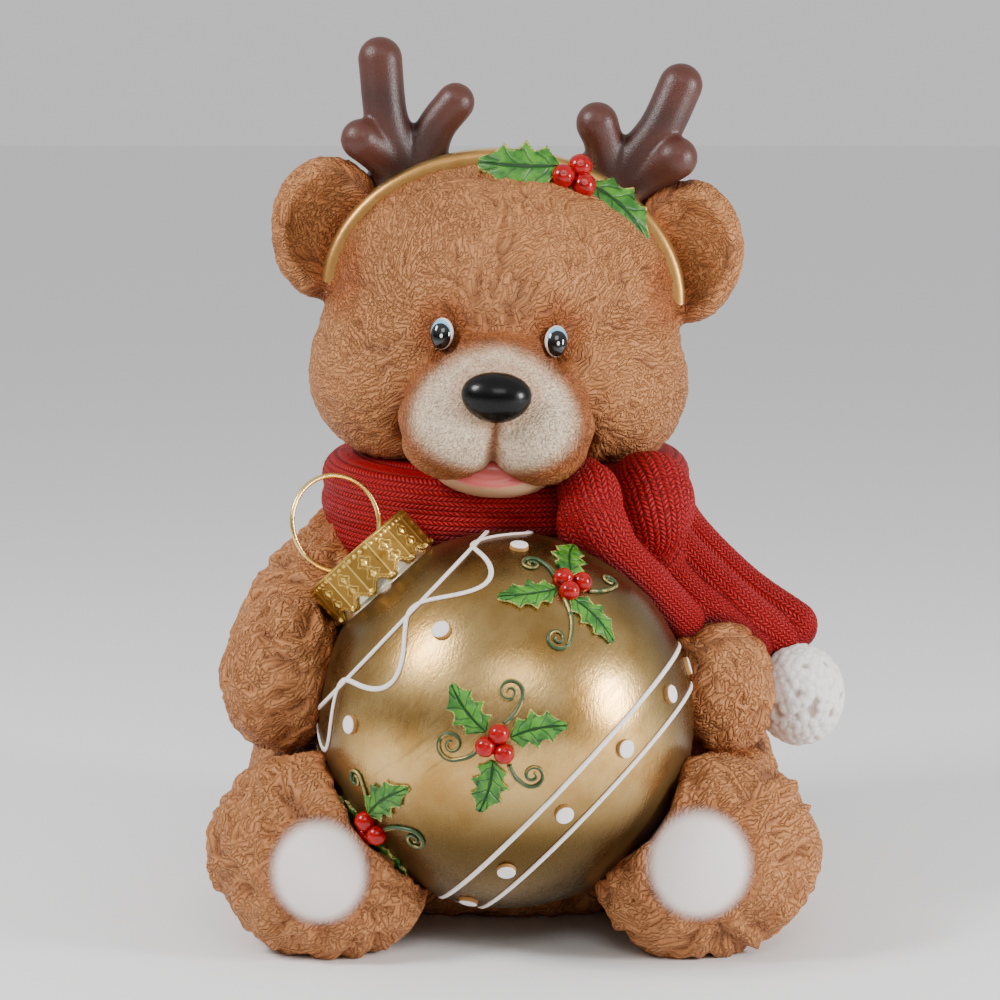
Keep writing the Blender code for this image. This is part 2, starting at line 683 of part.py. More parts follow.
def torus(name, radius, wire, around, section) -> bpy.types.Object:
    """A ring of round wire in the ring's frame."""
    form = bmesh.new()
    rings = []
    for index in range(around):
        angle = math.tau * index / around
        heading = Vector((math.cos(angle), math.sin(angle), 0.0))
        loop = []
        for corner in range(section):
            turn = math.tau * corner / section
            offset = heading * (radius + wire * math.cos(turn))
            loop.append(form.verts.new(offset + Vector((0.0, 0.0, wire * math.sin(turn)))))
        rings.append(loop)
    for index in range(around):
        here = rings[index]
        there = rings[(index + 1) % around]
        for corner in range(section):
            nxt = (corner + 1) % section
            form.faces.new((here[corner], there[corner], there[nxt], here[nxt]))
    bmesh.ops.transform(form, matrix=ring_frame(), verts=form.verts)
    return object_from(form, name)


def finish(obj, name, colour, roughness, metallic) -> None:
    """Names a piece and gives it a plain material of its own."""
    obj.name = name
    obj.data.name = name
    material = bpy.data.materials.new(name)
    material.use_nodes = True
    shader = material.node_tree.nodes["Principled BSDF"]
    shader.inputs["Base Color"].default_value = (*colour, 1.0)
    shader.inputs["Roughness"].default_value = roughness
    shader.inputs["Metallic"].default_value = metallic
    obj.data.materials.clear()
    obj.data.materials.append(material)


def stand_on_origin(pieces: list) -> None:
    """Moves all pieces so the floor centre of their common box is the origin."""
    corners = [vertex.co for piece in pieces for vertex in piece.data.vertices]
    low = Vector([min(c[axis] for c in corners) for axis in range(3)])
    high = Vector([max(c[axis] for c in corners) for axis in range(3)])
    centre = Vector(((low.x + high.x) / 2, (low.y + high.y) / 2, low.z))
    for piece in pieces:
        piece.location = -centre


def main() -> None:
    """Builds the figurine."""
    for obj in list(bpy.data.objects):
        bpy.data.objects.remove(obj)
    skin = bear_skin()
    unite(skin, face(skin) + [scarf(), headdress()])
    thin_out(skin, FIGURE_FACES)
    mend(skin)
    cut(skin, cap_room())
    unite(skin, [bauble()])
    cut_flat_below(skin)
    mend(skin)
    cap = ornament_cap()
    ring = torus("cap_ring", RING_RADIUS, RING_WIRE_RADIUS, 26, 6)
    finish(skin, "bear", (0.50, 0.27, 0.13), 0.6, 0.0)
    finish(cap, "ornament_cap", (0.80, 0.60, 0.20), 0.3, 1.0)
    finish(ring, "cap_ring", (0.80, 0.62, 0.28), 0.25, 1.0)
    stand_on_origin([skin, cap, ring])


main()
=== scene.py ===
"""Looks of a christmas bear figurine: a seated teddy bear hugging a large gold bauble.

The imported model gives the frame. Every piece here stands on it, in metres, with +Z up,
-Y to the front and the floor at z = 0. Free forms are written in shares of the figure's
height, as the construction has them.
"""

import logging
import math
from dataclasses import dataclass, field, replace
from enum import Enum
from typing import Callable, Iterable, Optional, Sequence, Union

import bpy
import numpy as np
from mathutils import Matrix, Vector
from mathutils.bvhtree import BVHTree
from mathutils.kdtree import KDTree

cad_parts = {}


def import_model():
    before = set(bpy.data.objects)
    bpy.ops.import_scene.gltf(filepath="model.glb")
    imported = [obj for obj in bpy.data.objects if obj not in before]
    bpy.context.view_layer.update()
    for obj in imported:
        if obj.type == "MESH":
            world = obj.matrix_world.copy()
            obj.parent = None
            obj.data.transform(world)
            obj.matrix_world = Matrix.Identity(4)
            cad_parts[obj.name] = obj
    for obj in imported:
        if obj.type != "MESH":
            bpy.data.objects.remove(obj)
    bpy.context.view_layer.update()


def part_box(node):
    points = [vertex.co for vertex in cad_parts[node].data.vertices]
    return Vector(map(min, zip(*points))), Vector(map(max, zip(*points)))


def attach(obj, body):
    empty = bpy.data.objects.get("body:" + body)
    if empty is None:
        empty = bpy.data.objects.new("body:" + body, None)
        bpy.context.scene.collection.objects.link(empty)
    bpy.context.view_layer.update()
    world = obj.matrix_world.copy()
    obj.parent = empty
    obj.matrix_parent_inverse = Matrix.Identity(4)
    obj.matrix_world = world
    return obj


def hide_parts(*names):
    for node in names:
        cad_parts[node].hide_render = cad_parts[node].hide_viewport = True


LOG = logging.getLogger("christmas_bear")
Row = Sequence[float]
Colour = tuple[float, float, float]
SHARES = 445.0
SRGB_LIMIT = 0.04045


def paint(red: int, green: int, blue: int) -> Colour:
    """Turns a colour seen on screen, 0 to 255, into the shader's linear light."""
    linear = []
    for level in (red, green, blue):
        value = level / 255.0
        linear.append(value / 12.92 if value <= SRGB_LIMIT else ((value + 0.055) / 1.055) ** 2.4)
    return tuple(linear)


class Body(str, Enum):
    """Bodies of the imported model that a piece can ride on."""

    ROOT = "root"


class Node(str, Enum):
    """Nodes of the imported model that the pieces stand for."""

    BEAR = "bear"
    CAP = "ornament_cap"
    RING = "cap_ring"


class Slot(str, Enum):
    """Material slots of the record."""

    FUR = "fur_resin"
    MUZZLE = "muzzle_resin"
    KNIT = "knit_resin"
    GOLD = "gold_leaf"
    ANTLER = "antler_resin"
    GLOSS = "gloss_paint"
    LEAF = "leaf_paint"
    WHITE = "white_paint"
    CAP = "cap_brass"
    RING = "ring_brass"


@dataclass(frozen=True)
class Plan:
    """Driving sizes of the figure, the same as in its construction.

    Args:
        shift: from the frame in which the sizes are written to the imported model's frame.
    """

    height: float = 0.445
    ball_radius: float = 0.092
    ball_clearance: float = 0.0166
    ball_back: float = 0.008
    cap_lean: float = math.radians(42.0)
    cap_set_back: float = math.radians(6.0)
    cap_radius: float = 0.0304
    cap_wall: float = 0.0014
    cap_rise: float = 0.0230
    cap_scallops: int = 14
    cap_scallop_depth: float = 0.0045
    ring_radius: float = 0.0235
    ring_wire: float = 0.0012
    ring_hole_spread: float = 0.0157
    ring_turn: float = math.radians(128.0)
    ring_lean: float = math.radians(14.0)
    head_roll: float = math.radians(3.7)
    head_at: Row = (1.0, 0.0, 298.0)
    shift: Row = (0.0, 0.0, 0.0)

    @property
    def share(self) -> float:
        """Length of one share of the figure's height."""
        return self.height / SHARES

    @property
    def ball_centre(self) -> Vector:
        """Centre of the bauble."""
        back = -self.ball_radius - self.ball_back
        centre = Vector((3.0 * self.share, back, self.ball_radius + self.ball_clearance))
        return centre + Vector(self.shift)

    @property
    def cap_axis(self) -> Vector:
        """Direction from the bauble's centre to its cap."""
        return Vector((
            -math.sin(self.cap_lean) * math.cos(self.cap_set_back),
            math.sin(self.cap_set_back),
            math.cos(self.cap_lean) * math.cos(self.cap_set_back),
        ))

    @property
    def cap_seat(self) -> float:
        """Distance from the bauble's centre to the circle where the cap's wall meets the ball."""
        inner = self.cap_radius - self.cap_wall
        return math.sqrt(self.ball_radius**2 - inner**2)

    @property
    def body(self) -> Matrix:
        """Places a point of the body."""
        return Matrix.Translation(Vector(self.shift))

    @property
    def head(self) -> Matrix:
        """Places a point of the head, which leans a little to one side."""
        turn = Matrix.Rotation(self.head_roll, 4, "Y")
        return self.body @ Matrix.Translation(Vector(self.head_at) * self.share) @ turn

    @property
    def ring_frame(self) -> Matrix:
        """Frame of the wire ring: Z is the ring's axis, X runs between its two legs."""
        plate = self.ball_centre + self.cap_axis * (self.cap_seat + self.cap_rise)
        seat = tangent_frame(plate, self.cap_axis) @ Matrix.Rotation(self.ring_turn, 4, "Z")
        stand = seat @ Matrix.Rotation(math.radians(90) + self.ring_lean, 4, "X")
        rise = math.sqrt(self.ring_radius**2 - self.ring_hole_spread**2)
        return stand @ Matrix.Translation((0.0, rise, 0.0))

    def in_frame(self) -> "Plan":
        """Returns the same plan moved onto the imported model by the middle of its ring."""
        low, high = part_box(Node.RING.value)
        return replace(self, shift=tuple((low + high) / 2 - self.ring_frame.translation))


def aimed(point: Vector, outward: Vector, spin: float = 0.0) -> Matrix:
    """Returns a frame at a point with its Z along a direction, spun about it."""
    turn = outward.to_track_quat("Z", "Y").to_matrix().to_4x4()
    return Matrix.Translation(point) @ turn @ Matrix.Rotation(spin, 4, "Z")


def tangent_frame(point: Vector, outward: Vector) -> Matrix:
    """Returns a frame with Z outward, Y as near to up as it can be and X to the side."""
    up = Vector((0.0, 0.0, 1.0))
    y_axis = (up - outward * up.dot(outward)).normalized()
    x_axis = y_axis.cross(outward)
    return Matrix.Translation(point) @ Matrix((x_axis, y_axis, outward)).transposed().to_4x4()


def moved(points: np.ndarray, matrix: Matrix) -> np.ndarray:
    """Returns rows of points moved by a matrix."""
    rows = np.array(matrix, float)
    return points @ rows[:3, :3].T + rows[:3, 3]


def ease(low: float, high: float, value: np.ndarray) -> np.ndarray:
    """Returns 0 below low, 1 above high and a smooth step between."""
    t = np.clip((value - low) / (high - low), 0.0, 1.0)
    return t * t * (3.0 - 2.0 * t)


def unit(rows: np.ndarray) -> np.ndarray:
    """Returns rows of vectors at length 1."""
    return rows / np.maximum(np.linalg.norm(rows, axis=1, keepdims=True), 1e-9)


def smooth_route(stations: Iterable[Row], steps: int) -> np.ndarray:
    """Reads a Catmull-Rom curve through rows of numbers.

    Args:
        stations: rows such as x, y, z, radius.
        steps: rows made between two stations.

    Returns:
        The rows along the curve, both ends included.
    """
    rows = [np.array(row, float) for row in stations]
    rows = [2 * rows[0] - rows[1]] + rows + [2 * rows[-1] - rows[-2]]
    route = []
    for a, b, c, d in zip(rows, rows[1:], rows[2:], rows[3:]):
        for step in range(steps):
            t = step / steps
            bend = 2 * b + (c - a) * t
            bend = bend + (2 * a - 5 * b + 4 * c - d) * t * t
            bend = bend + (3 * b - a - 3 * c + d) * t**3
            route.append(bend / 2)
    route.append(rows[-2])
    return np.array(route)


class Clay:
    """A mesh under work: primitives joined, sculpted, moved in code and dressed."""

    def __init__(self, name: str) -> None:
        """Starts an empty work of the given name."""
        self.name = name
        self.parts: list[bpy.types.Object] = []

    def keep(self, matrix: Matrix) -> bpy.types.Object:
        """Places the primitive that was just added and keeps it as a part."""
        part = bpy.context.object
        part.matrix_world = matrix
        self.parts.append(part)
        return part

    def lump(self, centre: Row, radii: Row, turn: Row = (0.0, 0.0, 0.0),
             place: Matrix = Matrix(), share: float = 1.0, detail: int = 4) -> bpy.types.Object:
        """Adds an ellipsoid.

        Args:
            centre: its middle, in shares.
            radii: its three radii, in shares.
            turn: degrees about X, Y and Z.
            place: frame in which it is written.
            share: length of one share.
            detail: how finely it is divided.

        Returns:
            The new part.
        """
        bpy.ops.mesh.primitive_ico_sphere_add(subdivisions=detail, radius=1.0)
        rotation = Matrix.Rotation(math.radians(turn[2]), 4, "Z")
        rotation = rotation @ Matrix.Rotation(math.radians(turn[1]), 4, "Y")
        rotation = rotation @ Matrix.Rotation(math.radians(turn[0]), 4, "X")
        size = Matrix.Diagonal((*[radius * share for radius in radii], 1.0))
        return self.keep(place @ Matrix.Translation(Vector(centre) * share) @ rotation @ size)

    def limb(self, stations: Iterable[Row], place: Matrix, share: float, steps: int = 6) -> None:
        """Adds a row of balls along a smooth route of x, y, z and radius."""
        for x, y, z, radius in smooth_route(stations, steps):
            self.lump((x, y, z), (radius,) * 3, place=place, share=share, detail=3)

    def joined(self) -> bpy.types.Object:
        """Joins all parts into one object at the origin and returns it."""
        bpy.ops.object.select_all(action="DESELECT")
        for part in self.parts:
            part.select_set(True)
        bpy.context.view_layer.objects.active = self.parts[0]
        bpy.ops.object.transform_apply(location=True, rotation=True, scale=True)
        if len(self.parts) > 1:
            bpy.ops.object.join()
        piece = bpy.context.view_layer.objects.active
        piece.name = self.name
        piece.data.name = self.name
        self.parts = [piece]
        return piece

    def sculpt(self, voxel: float, blur: int) -> bpy.types.Object:
        """Joins overlapping lumps into one skin.

        Args:
            voxel: size of the new faces.
            blur: rounds of smoothing that soften the creases.

        Returns:
            The skin.
        """
        piece = self.joined()
        remesh = piece.modifiers.new("remesh", "REMESH")
        remesh.mode = "VOXEL"
        remesh.voxel_size = voxel
        smooth = piece.modifiers.new("smooth", "SMOOTH")
        smooth.factor = 0.5
        smooth.iterations = blur
        settle(piece)
        return piece


def settle(piece: bpy.types.Object) -> None:
    """Applies an object's modifiers in their order."""
    bpy.ops.object.select_all(action="DESELECT")
    piece.select_set(True)
    bpy.context.view_layer.objects.active = piece
    for modifier in list(piece.modifiers):
        bpy.ops.object.modifier_apply(modifier=modifier.name)


def corners(piece: bpy.types.Object, kind: str = "co") -> np.ndarray:
    """Returns the places, or with "normal" the normals, of a mesh's vertices."""
    flat = np.zeros(len(piece.data.vertices) * 3, np.float32)
    piece.data.vertices.foreach_get(kind, flat)
    return flat.reshape(-1, 3).astype(float)


def move_corners(piece: bpy.types.Object, points: np.ndarray) -> None:
    """Writes new places for a mesh's vertices."""
    piece.data.vertices.foreach_set("co", points.astype(np.float32).ravel())
    piece.data.update()


def note(piece: bpy.types.Object, name: str, values: np.ndarray) -> None:
    """Stores one number for each vertex, for a material to read."""
    layer = piece.data.attributes.new(name, "FLOAT", "POINT")
    layer.data.foreach_set("value", values.astype(np.float32))


def soften(piece: bpy.types.Object, values: np.ndarray, rounds: int, share: float = 0.5) -> np.ndarray:
    """Averages values over neighbouring vertices.

    Args:
        piece: the mesh whose edges say which vertices are neighbours.
        values: rows of numbers, one row for each vertex.
        rounds: how many times.
        share: how far each value moves to its neighbours' mean in a round.

    Returns:
        The softened rows.
    """
    edges = np.zeros(len(piece.data.edges) * 2, np.int32)
    piece.data.edges.foreach_get("vertices", edges)
    first, second = edges.reshape(-1, 2).T
    count = len(values)
    links = np.bincount(first, minlength=count) + np.bincount(second, minlength=count)
    rows = values.reshape(count, -1).astype(float)
    for _ in range(rounds):
        mean = np.empty_like(rows)
        for column in range(rows.shape[1]):
            sums = np.bincount(first, rows[second, column], count)
            mean[:, column] = sums + np.bincount(second, rows[first, column], count)
        rows = rows + (mean / np.maximum(links, 1)[:, None] - rows) * share
    return rows.reshape(values.shape)


def shaped_grid(name: str, columns: int, rows: int,
                shape: Callable[[np.ndarray, np.ndarray], np.ndarray]) -> bpy.types.Object:
    """Adds a grid and lays it on a shape, closing the seams where its edges meet.

    Args:
        name: the piece's name.
        columns: faces along u.
        rows: faces along v.
        shape: gives rows of points for arrays u and v that run from 0 to 1.

    Returns:
        The piece, with its faces pointing outward and u, v as its UV map.
    """
    bpy.ops.mesh.primitive_grid_add(x_subdivisions=columns, y_subdivisions=rows, size=1.0)
    piece = bpy.context.object
    piece.name = name
    piece.data.name = name
    flat = corners(piece)
    move_corners(piece, shape(flat[:, 0] + 0.5, flat[:, 1] + 0.5))
    close_shell(piece)
    return piece


def close_shell(piece: bpy.types.Object) -> None:
    """Merges a mesh's doubled vertices and turns its faces outward."""
    bpy.ops.object.select_all(action="DESELECT")
    piece.select_set(True)
    bpy.context.view_layer.objects.active = piece
    bpy.ops.object.mode_set(mode="EDIT")
    bpy.ops.mesh.select_all(action="SELECT")
    bpy.ops.mesh.remove_doubles(threshold=1e-6)
    bpy.ops.mesh.normals_make_consistent(inside=False)
    bpy.ops.object.mode_set(mode="OBJECT")


def merged(name: str, pieces: list[bpy.types.Object]) -> bpy.types.Object:
    """Joins finished pieces of one finish into one object and returns it."""
    clay = Clay(name)
    clay.parts = pieces
    return clay.joined()


class Signal:
    """A shader socket that takes part in arithmetic."""

    def __init__(self, desk: "Desk", socket: bpy.types.NodeSocket) -> None:
        """Wraps a socket of the desk's tree."""
        self.desk = desk
        self.socket = socket

    def sum_of(self, operation: str, first: "Term", second: "Term" = 0.0) -> "Signal":
        """Adds one Math node and returns its value."""
        return self.desk.add("ShaderNodeMath", {"operation": operation}, {0: first, 1: second})

    def __add__(self, other: "Term") -> "Signal":
        """Returns self + other."""
        return self.sum_of("ADD", self, other)

    def __radd__(self, other: "Term") -> "Signal":
        """Returns other + self."""
        return self.sum_of("ADD", other, self)

    def __sub__(self, other: "Term") -> "Signal":
        """Returns self - other."""
        return self.sum_of("SUBTRACT", self, other)

    def __rsub__(self, other: "Term") -> "Signal":
        """Returns other - self."""
        return self.sum_of("SUBTRACT", other, self)

    def __mul__(self, other: "Term") -> "Signal":
        """Returns self * other."""
        return self.sum_of("MULTIPLY", self, other)

    def __rmul__(self, other: "Term") -> "Signal":
        """Returns other * self."""
        return self.sum_of("MULTIPLY", other, self)

    def __truediv__(self, other: "Term") -> "Signal":
        """Returns self / other."""
        return self.sum_of("DIVIDE", self, other)

    def __pow__(self, other: "Term") -> "Signal":
        """Returns self to a power."""
        return self.sum_of("POWER", self, other)

    def __abs__(self) -> "Signal":
        """Returns the value without its sign."""
        return self.sum_of("ABSOLUTE", self)

    def sine(self) -> "Signal":
        """Returns the sine."""
        return self.sum_of("SINE", self)

    def fraction(self) -> "Signal":
        """Returns the part after the decimal point."""
        return self.sum_of("FRACT", self)

    def root(self) -> "Signal":
        """Returns the square root."""
        return self.sum_of("SQRT", self)

    def most(self, other: "Term") -> "Signal":
        """Returns the larger of two values."""
        return self.sum_of("MAXIMUM", self, other)

    def step(self, low: float, high: float) -> "Signal":
        """Returns 0 at low, 1 at high and a smooth step between; low may be the larger."""
        settings = {"interpolation_type": "SMOOTHSTEP"}
        return self.desk.add("ShaderNodeMapRange", settings, {
            "Value": self, "From Min": low, "From Max": high, "To Min": 0.0, "To Max": 1.0,
        })


Term = Union[Signal, float, Colour]


class Desk:
    """One material under work, with its nodes."""

    def __init__(self, name: str, sky: bool = False) -> None:
        """Starts a material with a Principled shader, or a sky with a Background shader."""
        self.material = (bpy.data.worlds if sky else bpy.data.materials).new(name)
        self.material.use_nodes = True
        self.tree = self.material.node_tree
        self.shader = self.tree.nodes["Background" if sky else "Principled BSDF"]

    def add(self, kind: str, settings: Optional[dict] = None, sockets: Optional[dict] = None,
            out: Union[int, str] = 0) -> Signal:
        """Adds a node.

        Args:
            kind: the node's type.
            settings: its properties, or "stops" for a ramp's places and colours.
            sockets: values or signals for its inputs, by name or number.
            out: the output that is returned.

        Returns:
            The chosen output as a signal.
        """
        node = self.tree.nodes.new(kind)
        for key, value in (settings or {}).items():
            if key == "stops":
                self.set_stops(node, value)
            else:
                setattr(node, key, value)
        for key, value in (sockets or {}).items():
            if isinstance(value, Signal):
                self.tree.links.new(value.socket, node.inputs[key])
            elif isinstance(value, tuple) and node.inputs[key].type == "RGBA":
                node.inputs[key].default_value = (*value, 1.0)
            else:
                node.inputs[key].default_value = value
        return Signal(self, node.outputs[out])

    @staticmethod
    def set_stops(node: bpy.types.Node, stops: Sequence[tuple[float, Colour]]) -> None:
        """Writes a colour ramp's stops."""
        ramp = node.color_ramp
        while len(ramp.elements) < len(stops):
            ramp.elements.new(1.0)
        for element, (place, colour) in zip(ramp.elements, stops):
            element.position = place
            element.color = (*colour, 1.0)

    def place(self) -> Signal:
        """Returns Object coordinates, in metres."""
        return self.add("ShaderNodeTexCoord", out="Object")

    def axes(self, vector: Signal) -> tuple[Signal, Signal, Signal]:
        """Splits a vector into X, Y and Z."""
        first = self.add("ShaderNodeSeparateXYZ", sockets={0: vector})
        outputs = first.socket.node.outputs
        return Signal(self, outputs[0]), Signal(self, outputs[1]), Signal(self, outputs[2])

    def uv(self) -> tuple[Signal, Signal]:
        """Returns the piece's u and v."""
        u, v, _ = self.axes(self.add("ShaderNodeTexCoord", out="UV"))
        return u, v

    def noted(self, name: str) -> Signal:
        """Returns a number stored on the piece's vertices."""
        return self.add("ShaderNodeAttribute", {"attribute_name": name}, out="Fac")

    def noise(self, size: float, detail: float = 2.0, vector: Optional[Signal] = None) -> Signal:
        """Returns noise whose spots are about size metres across."""
        where = vector or self.place()
        sockets = {"Vector": where, "Scale": 1.0 / size, "Detail": detail}
        return self.add("ShaderNodeTexNoise", {}, sockets)

    def stretched(self, scale: Row, turn: Row = (0.0, 0.0, 0.0)) -> Signal:
        """Returns Object coordinates turned by degrees and then stretched."""
        return self.add("ShaderNodeMapping", {"vector_type": "TEXTURE"}, {
            "Vector": self.place(), "Scale": Vector(scale),
            "Rotation": Vector([math.radians(angle) for angle in turn]),
        })

    def mix(self, share: Term, first: Term, second: Term) -> Signal:
        """Returns a colour between two colours."""
        return self.add("ShaderNodeMix", {"data_type": "RGBA"}, {0: share, 6: first, 7: second}, 2)

    def ramp(self, value: Signal, stops: Sequence[tuple[float, Colour]]) -> Signal:
        """Returns the colour that a ramp gives for a value."""
        return self.add("ShaderNodeValToRGB", {"stops": stops}, {0: value})

    def bump(self, height: Signal, depth: float) -> Signal:
        """Returns a normal for a height in 0 to 1 that stands for a depth in metres."""
        return self.add("ShaderNodeBump", {}, {"Height": height, "Distance": depth, "Strength": 1.0})

    def finish(self, **sockets: Term) -> Union[bpy.types.Material, bpy.types.World]:
        """Sets the shader's sockets, named with _ for spaces, and returns the material."""
        for key, value in sockets.items():
            socket = self.shader.inputs[key.replace("_", " ")]
            if isinstance(value, Signal):
                self.tree.links.new(value.socket, socket)
            elif isinstance(value, tuple):
                socket.default_value = (*value, 1.0)
            else:
                socket.default_value = value
        return self.material


def dress(piece: bpy.types.Object, material: bpy.types.Material, node: Node, slot: Slot) -> None:
    """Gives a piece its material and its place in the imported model, and reports it."""
    piece.data.materials.clear()
    piece.data.materials.append(material)
    bpy.ops.object.select_all(action="DESELECT")
    piece.select_set(True)
    bpy.context.view_layer.objects.active = piece
    bpy.ops.object.shade_smooth()
    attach(piece, Body.ROOT.value)
    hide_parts(node.value)
    triangles = sum(len(face.vertices) - 2 for face in piece.data.polygons)
    LOG.info("%s: %d triangles for %s", piece.name, triangles, node.value)


@dataclass(frozen=True)
class FurPaint:
    """Painted fur: tan, brown in the creases as painted shade over a brown wash, airbrushed edges, pale tops as
    drybrush and painted highlight, and a pale patch.
    """

    name: str
    patch: Colour = paint(226, 202, 172)
    stipple: float = 1.0
    tan: Colour = paint(180, 117, 68)
    ochre: Colour = paint(158, 87, 38)
    umber: Colour = paint(104, 50, 22)
    shadow: Colour = paint(44, 22, 14)
    # Wash colour of the grooves and valleys, where it also stands for painted shade; also the stipple on the patch.
    wash: Colour = paint(92, 48, 24)
    # Pale colour of raised locks: drybrushed paint that is also a painted highlight.
    tip: Colour = paint(218, 160, 108)

    def material(self) -> bpy.types.Material:
        """Builds the material."""
        desk = Desk(self.name)
        relief = desk.noted("relief")
        shade = desk.noted("shade")
        patch = desk.noted("patch")
        bare = patch * (1.0 - 0.65 * self.stipple)
        cloud = desk.noise(0.030, 3.0)
        fine = desk.noise(0.0011, 2.0)
        groove = (1.0 - abs((desk.noted("strand") * math.pi).sine())) ** 1.3
        groove = groove * (1.0 - bare) * (0.45 + cloud * 0.9)
        stops = [(0.0, self.tan), (0.35, self.ochre), (0.7, self.umber), (1.0, self.shadow)]
        # The ramp darkens with the noted shade: painted shade in hollows and where parts meet, together with the
        # airbrushed brown accents.
        tone = desk.ramp(shade + (cloud - 0.5) * 0.30, stops)
        # Low relief between locks and clumps takes the wash colour: a brown wash that is also painted shade in the
        # valleys.
        crease = (1.0 - relief.step(0.34, 0.74)) * 0.62
        lines = desk.mix((crease.most(groove * 0.40)), tone, self.wash)
        # Raised locks turn to the tip colour: drybrushed paint that is also a painted highlight on the tops.
        brushed = relief.step(0.45, 0.85) * (1.0 - groove) * fine.step(0.40, 0.7) * (1.0 - shade)
        coat = desk.mix(brushed * 0.38, lines, self.tip)
        specks = desk.noise(0.0013, 3.0).step(0.50, 0.62) * self.stipple
        pale = desk.mix(specks * 0.42, self.patch, self.wash)
        pale = desk.mix(groove * 0.34, pale, self.wash)
        tinted = desk.mix((shade * 1.3).most(0.0), pale, tone)
        colour = desk.mix(patch, coat, tinted)
        height = (1.0 - groove) * (1.0 - bare) + fine * (0.10 + patch * 0.45 * self.stipple)
        return desk.finish(
            Base_Color=colour, Roughness=0.50 + fine * 0.2, Specular_IOR_Level=0.30,
            Normal=desk.bump(height, 0.0010),
        )


@dataclass(frozen=True)
class Locks:
    """How locks of one size grow.

    Args:
        spacing: distance between the roots of two locks.
        length: from root to tip.
        half_width: at the widest.
        swing: how far a lock may turn from the flow, in degrees.
        bend: how far its tip may sway, as a share of its length.
        roundness: how far its sides fall away.
    """

    spacing: float
    length: float
    half_width: float
    swing: float
    bend: float
    roundness: float = 0.45

    def grow(self, points: np.ndarray, normals: np.ndarray, tree: KDTree, flow: np.ndarray,
             size: np.ndarray, draw: np.random.Generator) -> tuple[np.ndarray, np.ndarray, np.ndarray]:
        """Lays locks over one another.

        Args:
            points: the skin's vertices.
            normals: their normals.
            tree: a search tree of the vertices.
            flow: direction in which the fur lies, for each vertex.
            size: how large a lock is, as a share of its full size, for each vertex.
            draw: the random numbers.

        Returns:
            For each vertex the height 0 to 1, the place across its lock -1 to 1, and its
            lock's direction.
        """
        relief = np.zeros(len(points))
        across = np.zeros(len(points))
        lie = flow.copy()
        order = draw.permutation(len(points))
        gaps = self.spacing * np.maximum(size[order], 0.3)
        cells = np.floor(points[order] / gaps[:, None]).astype(int)
        _, first = np.unique(cells, axis=0, return_index=True)
        for root in order[np.sort(first)]:
            out = normals[root]
            turn = math.radians(draw.uniform(-self.swing, self.swing))
            level = flow[root] - out * flow[root].dot(out)
            level = level / max(np.linalg.norm(level), 1e-9)
            ahead = level * math.cos(turn) + np.cross(out, level) * math.sin(turn)
            side = np.cross(out, ahead)
            length = self.length * size[root] * draw.uniform(0.75, 1.25)
            half = self.half_width * size[root] * draw.uniform(0.8, 1.2)
            bend = draw.uniform(-self.bend, self.bend) * length
            lift = draw.uniform(-0.12, 0.12)
            hits = tree.find_range(points[root] + ahead * length * 0.45, length * 0.62)
            near = np.array([hit[1] for hit in hits], int)
            offset = points[near] - points[root]
            along = offset @ ahead / length
            width = half * np.clip(0.5 + along * 2.2, 0.2, 1.0)
            width = width * np.sqrt(np.clip(1.0 - along**2, 0.0, 1.0)) + 1e-6
            spread = (offset @ side - bend * along**2) / width
            value = np.clip(0.36 + lift + 0.64 * along, 0.02, 1.0) * (1.0 - self.roundness * spread**2)
            misses = (along < -0.05) | (along > 1.0) | (np.abs(spread) > 1.0)
            misses = misses | (normals[near] @ out < 0.2)
            wins = (value > relief[near]) & ~misses
            rows = near[wins]
            relief[rows] = value[wins]
            across[rows] = spread[wins]
            lie[rows] = ahead + side * (bend / length * 2.0 * along[wins])[:, None]
        return relief, across, lie


